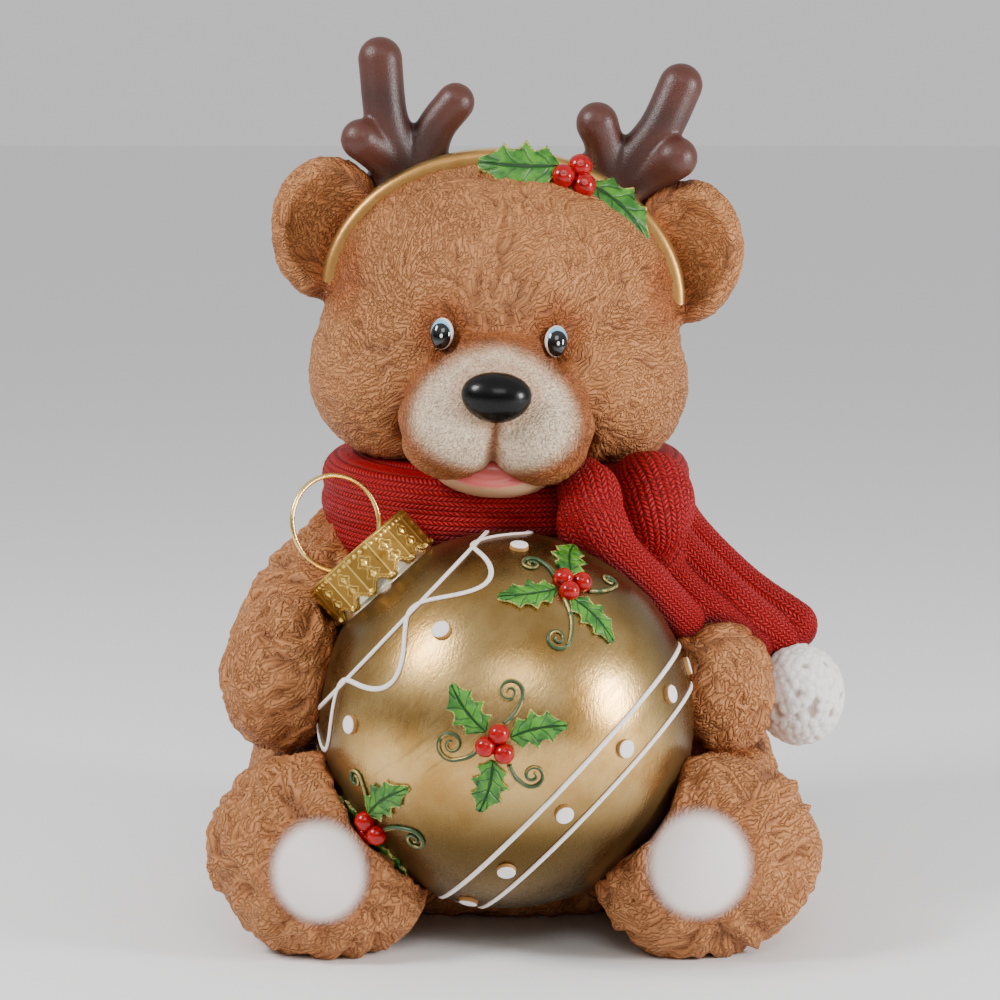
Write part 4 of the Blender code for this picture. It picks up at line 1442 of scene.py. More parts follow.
def sweep(name: str, route: np.ndarray, side: np.ndarray, up: np.ndarray,
          profile: np.ndarray, scale: np.ndarray) -> bpy.types.Object:
    """Sweeps a closed profile along a route.

    Args:
        name: the piece's name.
        route: rows of points. Where the last is the first, the piece is a closed loop.
        side: direction of the profile's first number at each point.
        up: direction of the profile's second number at each point.
        profile: rows of side and up, once round without a repeat.
        scale: size of the profile at each point, 0 to close an end.

    Returns:
        The piece.
    """
    last = len(route) - 1
    count = len(profile)

    def shape(u: np.ndarray, v: np.ndarray) -> np.ndarray:
        """Reads the swept point of a grid corner."""
        i = np.rint(u * last).astype(int)
        j = np.rint(v * count).astype(int) % count
        reach = profile[j] * scale[i, None]
        return route[i] + side[i] * reach[:, :1] + up[i] * reach[:, 1:]

    return shaped_grid(name, last, count, shape)


def round_profile(radius: float, sides: int, squash: float = 1.0) -> np.ndarray:
    """Returns a circle, or an ellipse, as a profile to sweep."""
    angle = np.arange(sides) * math.tau / sides
    return np.stack((radius * np.cos(angle), radius * squash * np.sin(angle)), 1)


def capped(route: np.ndarray) -> tuple[np.ndarray, np.ndarray]:
    """Returns a route with its end points doubled, and the scale that closes them."""
    rows = np.concatenate((route[:1], route, route[-1:]))
    scale = np.ones(len(rows))
    scale[[0, -1]] = 0.0
    return rows, scale


@dataclass(frozen=True)
class BandPaint:
    """Gold paint on the headband: brown and duller off its crown, with a bright gold stripe along the crown that is
    a painted highlight.
    """

    name: str = "headband_gold"
    gold: Colour = paint(238, 204, 136)
    brown: Colour = paint(176, 122, 56)

    def material(self) -> bpy.types.Material:
        """Builds the material."""
        desk = Desk(self.name)
        _, v = desk.uv()
        # A bright gold stripe along the band's crown: painted highlight.
        crown_highlight = 1.0 - abs(v - 0.36).step(0.02, 0.16)
        cloud = desk.noise(0.010, 4.0)
        fine = desk.noise(0.0012, 2.0)
        colour = desk.mix(crown_highlight * 0.8 + cloud * 0.35, self.brown, self.gold)
        return desk.finish(
            Base_Color=colour, Metallic=0.85 + crown_highlight * 0.1, Roughness=0.34 - crown_highlight * 0.12 + fine * 0.1,
            Normal=desk.bump(cloud * 0.6 + fine * 0.2, 0.0003),
        )


@dataclass(frozen=True)
class LeafPaint:
    """Green leaf paint with dark veins and a rubbed gold rim."""

    name: str = "holly_green"
    green: Colour = paint(36, 98, 22)
    light: Colour = paint(76, 142, 34)
    vein: Colour = paint(10, 42, 16)
    gold: Colour = paint(206, 178, 104)
    top_share: float = 0.7

    def material(self) -> bpy.types.Material:
        """Builds the material."""
        desk = Desk(self.name)
        u, v = desk.uv()
        side = abs(v * (2.0 / self.top_share) - 1.0)
        cloud = desk.noise(0.006, 3.0)
        fine = desk.noise(0.0010, 2.0)
        rays = ((u * 5.0 - side * 1.1).fraction() - 0.5)
        rays = (1.0 - abs(rays).step(0.02, 0.14)) * side.step(0.05, 0.2) * 0.7
        mid = 1.0 - side.step(0.03, 0.13)
        base = desk.mix(cloud.step(0.35, 0.65) * (1.0 - mid), self.green, self.light)
        veined = desk.mix(mid.most(rays) * 0.85, base, self.vein)
        rim = side.step(0.86, 0.96) * fine.step(0.40, 0.55) * cloud.step(0.38, 0.5)
        return desk.finish(
            Base_Color=desk.mix(rim, veined, self.gold), Roughness=0.32 + fine * 0.15,
            Specular_IOR_Level=0.5, Normal=desk.bump(1.0 - mid.most(rays) + fine * 0.2, 0.0004),
        )


@dataclass(frozen=True)
class CurlPaint:
    """Dark green paint rubbed with gold on the high side of a tendril."""

    name: str = "tendril_green"
    green: Colour = paint(46, 74, 40)
    gold: Colour = paint(196, 160, 88)

    def material(self) -> bpy.types.Material:
        """Builds the material."""
        desk = Desk(self.name)
        _, v = desk.uv()
        high = 1.0 - abs(v - 0.12).step(0.05, 0.12)
        cloud = desk.noise(0.004, 3.0)
        colour = desk.mix(high * cloud.step(0.35, 0.55) * 0.85, self.green, self.gold)
        return desk.finish(Base_Color=colour, Metallic=high * 0.4, Roughness=0.38,
                           Normal=desk.bump(cloud, 0.0002))


@dataclass(frozen=True)
class GlossPaint:
    """Glossy enamel in one colour with a slightly darker cloud.

    Args:
        name: the material's name.
        colour: the enamel's colour.
        dark: the cloud's colour.
        roughness: how matt it is.
        gloss: how much it reflects.
    """

    name: str
    colour: Colour
    dark: Colour
    roughness: float = 0.16
    gloss: float = 0.4

    def material(self) -> bpy.types.Material:
        """Builds the material."""
        desk = Desk(self.name)
        cloud = desk.noise(0.004, 3.0)
        colour = desk.mix(cloud.step(0.45, 0.75), self.colour, self.dark)
        return desk.finish(
            Base_Color=colour, Roughness=self.roughness + cloud * 0.08, Specular_IOR_Level=self.gloss,
            Coat_Weight=self.gloss * 0.6, Normal=desk.bump(cloud, 0.00012),
        )


def ball_wrap(frame: Matrix, radius: float) -> Callable[[np.ndarray, np.ndarray], np.ndarray]:
    """Returns a function that lays flat points, with heights, on a ball."""
    def wrap(flat: np.ndarray, height: np.ndarray) -> np.ndarray:
        """Lays points on the ball."""
        length = np.maximum(np.linalg.norm(flat, axis=1), 1e-9)
        angle = length / radius
        reach = radius + height
        local = flat / length[:, None] * (np.sin(angle) * reach)[:, None]
        rows = np.column_stack((local, np.cos(angle) * reach - radius))
        return moved(rows, frame)
    return wrap


def head_wrap(frame: Matrix, bend: float) -> Callable[[np.ndarray, np.ndarray], np.ndarray]:
    """Returns a function that lays flat points, with heights, on a gently curved patch."""
    def wrap(flat: np.ndarray, height: np.ndarray) -> np.ndarray:
        """Lays points on the patch."""
        drop = (flat**2).sum(1) / (2 * bend)
        return moved(np.column_stack((flat, height - drop)), frame)
    return wrap


def polar(angle: float, distance: float) -> np.ndarray:
    """Returns a flat point from degrees and a distance."""
    return np.array((math.cos(math.radians(angle)), math.sin(math.radians(angle)))) * distance


@dataclass(frozen=True)
class Leaf:
    """A spiny domed holly leaf in a flat layout.

    Args:
        base: flat point where it starts.
        tip: flat point where it ends.
        width: at its widest.
        thickness: of the leaf.
        curve: how far its middle line bows to the side, as a share of its length.
        under: how far its underside reaches down, in thicknesses.
    """

    base: np.ndarray
    tip: np.ndarray
    width: float
    thickness: float = 0.0022
    curve: float = 0.06
    under: float = 0.6
    top_share: float = 0.7
    spines: Row = (-0.10, 0.17, 0.42, 0.69, 1.0)

    def half_width(self, t: np.ndarray) -> np.ndarray:
        """Returns half the width at a share of the length, with scallops between spines."""
        envelope = np.sin(np.pi * np.clip(t, 0.0, 1.0) ** 0.80) ** 0.62
        dip = np.zeros_like(t)
        for low, high in zip(self.spines, self.spines[1:]):
            share = (t - low) / (high - low)
            inside = (share >= 0.0) & (share <= 1.0)
            dip = np.where(inside, 4.0 * share * (1.0 - share), dip)
        return self.width / 2 * envelope * (1.0 - 0.40 * dip)

    def build(self, name: str, wrap: Callable[[np.ndarray, np.ndarray], np.ndarray]) -> bpy.types.Object:
        """Models the leaf on a surface."""
        run = self.tip - self.base
        side = np.array((-run[1], run[0])) / np.linalg.norm(run)

        def shape(u: np.ndarray, v: np.ndarray) -> np.ndarray:
            """Places a grid corner on the leaf's top or underside; the last row closes on the first."""
            v = np.where(v > 1.0 - 1e-6, 0.0, v)
            top = v <= self.top_share + 1e-6
            s = np.where(top, 2.0 * v / self.top_share - 1.0,
                         1.0 - 2.0 * (v - self.top_share) / (1.0 - self.top_share))
            width = self.half_width(u)
            bow = self.curve * np.linalg.norm(run) * np.sin(np.pi * u)
            flat = self.base + run * u[:, None] + side * (s * width + bow)[:, None]
            lift = 0.50 + 0.45 * (1.0 - s**2) + 0.30 * np.exp(-(((np.abs(s) - 1.0) / 0.12) ** 2))
            lift = lift - 0.35 * np.exp(-((s / 0.09) ** 2)) * (u < 0.97)
            rays = np.abs(np.mod(u * 5.0 - np.abs(s) * 1.1, 1.0) - 0.5)
            lift = lift - 0.16 * np.exp(-((rays / 0.09) ** 2)) * (np.abs(s) > 0.1)
            deep = self.under * (1.0 - 0.8 * s**2)
            height = np.where(top, lift * self.thickness, -deep * self.thickness)
            height = np.where(u * (1.0 - u) < 1e-6, 0.0, height)
            return wrap(flat, height)

        return shaped_grid(name, 56, 30, shape)


@dataclass(frozen=True)
class Tendril:
    """A thin stem that ends in a coil, in a flat layout.

    Args:
        start: flat point where it starts.
        centre: middle of its coil.
        radius: outer radius of its coil.
        hand: 1 or -1, the way it coils.
        wire: radius of the stem at its start.
    """

    start: np.ndarray
    centre: np.ndarray
    radius: float
    hand: float
    wire: float = 0.00115
    turns: float = 1.6

    def route(self) -> np.ndarray:
        """Returns the flat route from the start into the coil."""
        gap = self.start - self.centre
        distance = np.linalg.norm(gap)
        heading = math.atan2(gap[1], gap[0])
        lean = math.acos(min(0.98, self.radius / distance))
        first = heading + self.hand * lean
        angle = first + self.hand * np.linspace(0.0, math.tau * self.turns, 44)
        shrink = self.radius * (1.0 - 0.84 * np.linspace(0.0, 1.0, 44) ** 0.85)
        coil = self.centre + np.stack((np.cos(angle), np.sin(angle)), 1) * shrink[:, None]
        t = np.linspace(0.0, 1.0, 12)[:-1, None]
        control = (self.start + coil[0]) / 2
        outward = np.array((math.cos(first), math.sin(first)))
        control = control + outward * distance * 0.16
        stem = self.start * (1 - t) ** 2 + control * 2 * t * (1 - t) + coil[0] * t**2
        return np.concatenate((stem, coil))

    def build(self, name: str, wrap: Callable[[np.ndarray, np.ndarray], np.ndarray]) -> bpy.types.Object:
        """Models the tendril on a surface."""
        flat = self.route()
        taper = self.wire * (1.0 - 0.45 * np.linspace(0.0, 1.0, len(flat)))
        low = wrap(flat, taper * 0.55)
        up = unit(wrap(flat, taper * 0.55 + 0.001) - low)
        ahead = unit(np.gradient(low, axis=0))
        side = unit(np.cross(ahead, up))
        rows, close = capped(np.column_stack((low, side, up, taper)))
        scale = close * rows[:, 9]
        return sweep(name, rows[:, :3], rows[:, 3:6], rows[:, 6:9], round_profile(1.0, 10), scale)


@dataclass(frozen=True)
class Sprig:
    """A sprig of holly on the bauble, with angles in degrees and lengths in metres.

    Args:
        longitude: from the bauble's front.
        latitude: from the bauble's middle.
        leaves: rows of base angle, base distance, tip angle and tip distance.
        berries: rows of angle, distance and size.
        curls: rows of start angle, start distance, centre angle, centre distance, radius, hand.
    """

    longitude: float
    latitude: float
    leaves: Sequence[Row]
    berries: Sequence[Row]
    curls: Sequence[Row]

    def outward(self) -> Vector:
        """Returns the direction from the bauble's centre."""
        lon = math.radians(self.longitude)
        lat = math.radians(self.latitude)
        return Vector((math.sin(lon) * math.cos(lat), -math.cos(lon) * math.cos(lat), math.sin(lat)))


@dataclass
class Holly:
    """All the holly: three sprigs on the bauble, two leaves and berries on the headband."""

    plan: Plan
    leaf_width: float = 0.0195
    berry: float = 0.0049
    band_berry: float = 0.0063
    sprigs: Sequence[Sprig] = (
        Sprig(33.9, 54.6,
              ((59, 0.0056, 53, 0.040), (-159, 0.0100, 176, 0.0378), (-117, 0.0110, -78, 0.0363)),
              ((155, 0.0036, 1.0), (-24, 0.0054, 1.0), (-125, 0.0080, 1.0)),
              ((135, 0.0076, 124, 0.0205, 0.0054, 1), (-39, 0.0098, 4, 0.0258, 0.0044, 1),
               (-132, 0.0120, -126, 0.0348, 0.0064, -1))),
        Sprig(-3.0, 5.3,
              ((130, 0.0071, 128, 0.0346), (27, 0.0072, 14, 0.0340), (-100, 0.0076, -104, 0.0337)),
              ((74, 0.0048, 1.0), (-167, 0.0048, 1.0), (-48, 0.0055, 1.0)),
              ((69, 0.0099, 76, 0.0246, 0.0069, 1), (-163, 0.0086, -178, 0.0210, 0.0078, -1),
               (-58, 0.0114, -41, 0.0225, 0.0064, 1))),
        Sprig(-51.6, -26.1,
              ((59, 0.0100, 35, 0.0428), (145, 0.0095, 176, 0.0385), (-101, 0.0099, -89, 0.0363)),
              ((74, 0.0045, 1.0), (-22, 0.0066, 1.0), (-128, 0.0057, 1.0)),
              ((69, 0.0132, 90, 0.0254, 0.0049, 1), (3, 0.0124, -9, 0.0280, 0.0064, -1))),
    )

    def berry_at(self, name: str, matrix: Matrix, radius: float) -> bpy.types.Object:
        """Models one berry with a small pit at its end."""
        bpy.ops.mesh.primitive_uv_sphere_add(segments=24, ring_count=16, radius=1.0)
        piece = bpy.context.object
        piece.name = name
        points = corners(piece)
        pit = 1.0 - 0.10 * np.exp(-((np.hypot(points[:, 0], points[:, 1]) / 0.16) ** 2)) * (points[:, 2] > 0)
        move_corners(piece, moved(points * pit[:, None] * radius, matrix))
        return piece

    def build(self) -> None:
        """Models and paints all the holly."""
        leaves: list[bpy.types.Object] = []
        berries: list[bpy.types.Object] = []
        curls: list[bpy.types.Object] = []
        for sprig in self.sprigs:
            outward = sprig.outward()
            frame = tangent_frame(self.plan.ball_centre + outward * self.plan.ball_radius, outward)
            wrap = ball_wrap(frame, self.plan.ball_radius)
            for base_angle, base, tip_angle, tip in sprig.leaves:
                leaf = Leaf(polar(base_angle, base), polar(tip_angle, tip), self.leaf_width)
                leaves.append(leaf.build("leaf", wrap))
            for angle, distance, size in sprig.berries:
                radius = self.berry * size
                centre = wrap(polar(angle, distance)[None], np.array([radius * 0.5]))[0]
                berries.append(self.berry_at("berry", aimed(Vector(centre), outward), radius))
            for start_angle, start, centre_angle, centre, radius, hand in sprig.curls:
                curl = Tendril(polar(start_angle, start), polar(centre_angle, centre), radius, hand)
                curls.append(curl.build("curl", wrap))
        self.on_headband(leaves, berries)
        dress(merged("holly_leaves", leaves), LeafPaint().material(), Node.BEAR, Slot.LEAF)
        red = GlossPaint("berry_red", paint(164, 0, 2), paint(96, 0, 1), 0.14, 0.32)
        dress(merged("holly_berries", berries), red.material(), Node.BEAR, Slot.GLOSS)
        dress(merged("holly_tendrils", curls), CurlPaint().material(), Node.BEAR, Slot.LEAF)

    def on_headband(self, leaves: list[bpy.types.Object], berries: list[bpy.types.Object]) -> None:
        """Adds the leaves and berries that sit on the headband."""
        share = self.plan.share
        for at, out, tip_angle, length in (
            ((3.0, -27.0, 81.0), (-0.05, -0.90, 0.43), 181, 0.042),
            ((56.0, -22.0, 59.0), (0.36, -0.84, 0.40), -47, 0.044),
        ):
            facing = Vector(out).normalized()
            frame = self.plan.head @ tangent_frame(Vector(at) * share, facing)
            wrap = head_wrap(frame, 0.060)
            leaf = Leaf(-polar(tip_angle, length * 0.5), polar(tip_angle, length * 0.5), 0.031, under=4.0)
            leaves.append(leaf.build("leaf", wrap))
        for x, y, z in ((26.0, -26.0, 75.5), (34.4, -21.0, 81.0), (36.9, -25.0, 71.7)):
            place = self.plan.head @ Matrix.Translation(Vector((x, y, z)) * share)
            turn = Matrix.Rotation(math.radians(70), 4, "X")
            berries.append(self.berry_at("berry", place @ turn, self.band_berry))


@dataclass
class Headband:
    """The bevelled band over the head from ear to ear."""

    plan: Plan
    width: float = 0.016
    thickness: float = 0.009
    reach: float = math.radians(92.0)
    piece: Optional[bpy.types.Object] = None

    @staticmethod
    def middle(angle: float) -> Vector:
        """Returns the middle of the arch in head-local shares; 0 is the top."""
        return Vector((88.5 * math.sin(angle), 6.0, 10.0 + 71.0 * math.cos(angle)))

    def model(self) -> None:
        """Sweeps the band's profile over the head."""
        half = self.width / 2
        thick = self.thickness
        outline = [
            (-half, -thick), (-half, thick * 0.20), (-half * 0.80, thick * 0.55), (-half * 0.45, thick * 0.68),
            (0.0, thick * 0.72), (half * 0.45, thick * 0.68), (half * 0.80, thick * 0.55),
            (half, thick * 0.20), (half, -thick),
        ]
        profile = smooth_route([*outline], 3)[:, :2]
        angles = np.linspace(-self.reach, self.reach, 97)
        route = np.array([self.middle(angle) * self.plan.share for angle in angles])
        out = np.stack((np.sin(angles), np.zeros(97), np.cos(angles)), 1)
        along = np.tile((0.0, 1.0, 0.0), (97, 1))
        rows, scale = capped(np.column_stack((route, along, out)))
        self.piece = sweep("headband", rows[:, :3], rows[:, 3:6], rows[:, 6:9], profile, scale)
        move_corners(self.piece, moved(corners(self.piece), self.plan.head))

    def finish(self) -> None:
        """Paints the band."""
        dress(self.piece, BandPaint().material(), Node.BEAR, Slot.GOLD)


@dataclass(frozen=True)
class GoldLeafPaint:
    """Champagne gold, brushed and mottled, with brown where fur meets it, airbrushed paint together with painted
    shade, and with painted dark reflection.
    """

    name: str = "bauble_gold"
    gold: Colour = paint(224, 186, 120)
    warm: Colour = paint(190, 146, 80)
    # Olive of the leaf's streaks, also the painted dark reflection and shade.
    olive_streak_and_reflection: Colour = paint(80, 60, 27)
    brown: Colour = paint(84, 50, 18)

    def material(self) -> bpy.types.Material:
        """Builds the material."""
        desk = Desk(self.name)
        shade = desk.noted("shade")
        under = desk.noted("under")
        mottle = desk.noise(0.030, 4.0)
        streak = desk.noise(0.0030, 4.0, desk.stretched((9.0, 9.0, 1.0), (0.0, -42.0, 0.0)))
        brushed = desk.noise(0.0012, 3.0, desk.stretched((1.0, 1.0, 14.0), (0.0, 10.0, 0.0)))
        fine = desk.noise(0.0008, 2.0)
        tone = desk.mix(mottle.step(0.35, 0.68), self.gold, self.warm)
        # The noted under is painted dark reflection and shade; the streaks are the leaf's own.
        tone = desk.mix((streak.step(0.50, 0.78) * 0.40).most(under), tone, self.olive_streak_and_reflection)
        # Brown from the noted shade: airbrushed paint together with painted shade where parts meet.
        colour = desk.mix(shade, tone, self.brown)
        rough = 0.18 + streak * 0.11 + brushed * 0.08 + shade * 0.15
        return desk.finish(
            Base_Color=colour, Metallic=0.92 - shade * 0.5, Roughness=rough,
            Normal=desk.bump(brushed * 0.45 + streak * 0.35 + fine * 0.2, 0.00022),
        )


@dataclass(frozen=True)
class LinePaint:
    """White raised paint with brown airbrushed along its foot."""

    name: str = "line_white"
    white: Colour = paint(240, 236, 230)
    brown: Colour = paint(140, 92, 48)

    def material(self) -> bpy.types.Material:
        """Builds the material."""
        desk = Desk(self.name)
        _, v = desk.uv()
        foot = abs(v - 0.25).step(0.17, 0.235)
        cloud = desk.noise(0.0020, 3.0)
        colour = desk.mix(foot.most(cloud.step(0.66, 0.80) * 0.5), self.white, self.brown)
        return desk.finish(Base_Color=colour, Roughness=0.45, Normal=desk.bump(cloud, 0.00025))


@dataclass
class Bauble:
    """The gold ball with raised white lines and dots, and the neck under its cap.

    Args:
        stripe_axis: direction across the stripes.
        line_offsets: distances of the straight lines from the middle, along stripe_axis.
        wave_middle: distance of the wavy line from the middle.
    """

    plan: Plan
    stripe_axis: Row = (-0.7233, 0.0961, 0.6838)
    stripe_front: Row = (0.0, -0.9903, 0.1392)
    line_width: float = 0.0026
    line_height: float = 0.0011
    line_offsets: Row = (0.070, -0.036, -0.0535)
    wave_middle: float = 0.0625
    wave_swing: float = 0.0085
    waves: int = 7
    wave_start: float = 10.0
    dot_radius: float = 0.0044
    dot_height: float = 0.0022
    band_dots: int = 12
    band_dot_offset: float = -0.0453
    band_dot_start: float = -6.4
    peak_dot_offset: float = 0.054
    neck_rise: float = 0.0105
    ball: Optional[bpy.types.Object] = None

    @property
    def basis(self) -> np.ndarray:
        """Rows: the direction across the stripes, the front, and the third."""
        axis = Vector(self.stripe_axis).normalized()
        front = Vector(self.stripe_front)
        front = (front - axis * front.dot(axis)).normalized()
        return np.array((axis, front, axis.cross(front)))

    def stripe(self, angle: np.ndarray, offset: np.ndarray, height: float = 0.0) -> np.ndarray:
        """Returns points of the ball at an angle round the stripes' axis and an offset along it."""
        axis, front, third = self.basis
        rise = offset / self.plan.ball_radius
        round_ = np.sqrt(1.0 - rise**2)
        turn = np.cos(angle)[:, None] * front + np.sin(angle)[:, None] * third
        way = axis * rise[:, None] + turn * round_[:, None]
        return np.array(self.plan.ball_centre) + way * (self.plan.ball_radius + height)

    def model(self) -> None:
        """Models the ball."""
        bpy.ops.mesh.primitive_uv_sphere_add(segments=160, ring_count=100, radius=self.plan.ball_radius)
        self.ball = bpy.context.object
        self.ball.name = "bauble"
        self.ball.data.name = "bauble"
        move_corners(self.ball, moved(corners(self.ball), aimed(self.plan.ball_centre, self.plan.cap_axis)))

    def line(self, name: str, offset: Callable[[np.ndarray], np.ndarray]) -> bpy.types.Object:
        """Models a raised line right round the ball at an offset for each angle."""
        angle = np.linspace(0.0, math.tau, 361)
        route = self.stripe(angle, offset(angle))
        up = unit(route - np.array(self.plan.ball_centre))
        ahead = unit(np.roll(route[:-1], -1, 0) - np.roll(route[:-1], 1, 0))
        side = unit(np.cross(np.concatenate((ahead, ahead[:1])), up))
        turn = np.arange(12) * math.tau / 12
        profile = np.stack((np.cos(turn), np.sin(turn)), 1)
        profile = np.sign(profile) * np.abs(profile) ** 0.75
        profile = profile * (self.line_width / 2, self.line_height)
        return sweep(name, route, side, up, profile, np.ones(361))

    def dot(self, angle: float, offset: float) -> bpy.types.Object:
        """Models one raised dot."""
        turn = np.array([math.radians(angle)])
        centre = self.stripe(turn, np.array([offset]))[0]
        outward = Vector(centre) - self.plan.ball_centre
        frame = aimed(Vector(centre), outward.normalized())
        radii = np.array((0.0, 0.80, 0.95, 1.0, 1.04, 1.06, 0.0)) * self.dot_radius
        heights = np.array((1.0, 1.0, 0.90, 0.72, 0.30, -0.45, -0.45)) * self.dot_height
        steps = np.linspace(0.0, 1.0, len(radii))

        def shape(u: np.ndarray, v: np.ndarray) -> np.ndarray:
            """Turns the dot's profile round its axis."""
            radius = np.interp(v, steps, radii)
            spin = np.mod(u, 1.0) * math.tau
            rows = np.stack((np.cos(spin) * radius, np.sin(spin) * radius, np.interp(v, steps, heights)), 1)
            return moved(rows, frame)

        return shaped_grid("dot", 28, 18, shape)

    def neck(self) -> bpy.types.Object:
        """Models the pale neck that shows between the cap's scallops."""
        inner = self.plan.cap_radius - self.plan.cap_wall - 0.0003
        low = self.plan.cap_seat - 0.004
        top = self.plan.cap_seat + self.neck_rise
        radii = np.array((0.0, inner + 0.0012, inner + 0.0006, inner, inner, inner - 0.001, 0.0))
        heights = np.array((low, low, low + 0.0045, low + 0.006, top - 0.001, top, top))
        steps = np.linspace(0.0, 1.0, len(radii))

        def shape(u: np.ndarray, v: np.ndarray) -> np.ndarray:
            """Turns the neck's profile round the cap's axis."""
            radius = np.interp(v, steps, radii)
            spin = np.mod(u, 1.0) * math.tau
            rows = np.stack((np.cos(spin) * radius, np.sin(spin) * radius, np.interp(v, steps, heights)), 1)
            return moved(rows, aimed(self.plan.ball_centre, self.plan.cap_axis))

        return shaped_grid("bauble_neck", 96, 36, shape)

    def dark_reflection(self, points: np.ndarray) -> np.ndarray:
        """Returns the painted dark reflection and shade on the gold: below, towards the top and round the rim seen
        in front.
        """
        side, _, up = ((points - np.array(self.plan.ball_centre)) / self.plan.ball_radius).T
        below = 0.96 * ease(0.02, -0.50, up) - 0.14 * ease(-0.58, -0.85, up)
        above = 0.50 * ease(0.28, 0.58, up)
        rim = 0.88 * ease(0.62, 0.98, np.hypot(side, up))
        return np.maximum(np.maximum(below, above), rim)

    def finish(self, neighbours: Sequence[BVHTree]) -> None:
        """Paints the ball, with painted dark reflection and painted shade, and adds its lines, dots and neck."""
        points = corners(self.ball)
        # Brown where limbs and scarf come near and round the neck under the cap: airbrushed paint together with
        # painted shade.
        shade = np.zeros(len(points))
        for tree in neighbours:
            shade = np.maximum(shade, nearness(tree, points, 0.016))
        reach = np.linalg.norm(np.cross(points - np.array(self.plan.ball_centre), self.plan.cap_axis), axis=1)
        side = (points - np.array(self.plan.ball_centre)) @ np.array(self.plan.cap_axis) > 0
        shade = np.maximum(shade, 0.6 * ease(0.046, 0.031, reach) * side)
        # Painted dark reflection and shade: the gold darkens below, towards the top and round its rim.
        note(self.ball, "under", self.dark_reflection(points))
        note(self.ball, "shade", shade * 0.85)
        dress(self.ball, GoldLeafPaint().material(), Node.BEAR, Slot.GOLD)
        lines = [
            self.line(f"line_{number}", lambda angle, at=at: np.full_like(angle, at))
            for number, at in enumerate(self.line_offsets)
        ]
        start = math.radians(self.wave_start)
        lines.append(self.line("line_wave", lambda angle: self.wave_middle
                               + self.wave_swing * np.cos(self.waves * (angle - start))))
        dress(merged("bauble_lines", lines), LinePaint().material(), Node.BEAR, Slot.WHITE)
        dots = [self.dot(self.band_dot_start + 360.0 / self.band_dots * n, self.band_dot_offset)
                for n in range(self.band_dots)]
        dots += [self.dot(self.wave_start + 360.0 / self.waves * n, self.peak_dot_offset)
                 for n in range(self.waves)]
        dress(merged("bauble_dots", dots), DotPaint().material(), Node.BEAR, Slot.WHITE)
        neck = self.neck()
        for name in ("shade", "under"):
            note(neck, name, np.zeros(len(neck.data.vertices)))
        pale = GoldLeafPaint("neck_leaf", paint(222, 212, 188), paint(206, 190, 150), paint(160, 140, 100))
        dress(neck, pale.material(), Node.BEAR, Slot.GOLD)


@dataclass(frozen=True)
class DotPaint:
    """A white dot with a gold-brown side."""

    name: str = "dot_white"
    white: Colour = paint(240, 237, 232)
    brown: Colour = paint(168, 120, 62)

    def material(self) -> bpy.types.Material:
        """Builds the material."""
        desk = Desk(self.name)
        _, v = desk.uv()
        cloud = desk.noise(0.0020, 3.0)
        colour = desk.mix((v + cloud * 0.06).step(0.42, 0.52), self.white, self.brown)
        return desk.finish(Base_Color=colour, Roughness=0.42, Normal=desk.bump(cloud, 0.00015))


@dataclass(frozen=True)
class BrassPaint:
    """Bright stamped brass, dark in its hollows."""

    name: str
    bright: Colour = paint(244, 206, 112)
    dark: Colour = paint(120, 78, 22)
    roughness: float = 0.24

    def material(self) -> bpy.types.Material:
        """Builds the material."""
        desk = Desk(self.name)
        hollow = desk.noted("hollow")
        cloud = desk.noise(0.006, 3.0)
        fine = desk.noise(0.0010, 2.0)
        colour = desk.mix((hollow * 0.8 + cloud.step(0.55, 0.85) * 0.25).most(0.0), self.bright, self.dark)
        return desk.finish(
            Base_Color=colour, Metallic=1.0, Roughness=self.roughness + cloud * 0.12 + hollow * 0.2,
            Normal=desk.bump(fine, 0.0001),
        )


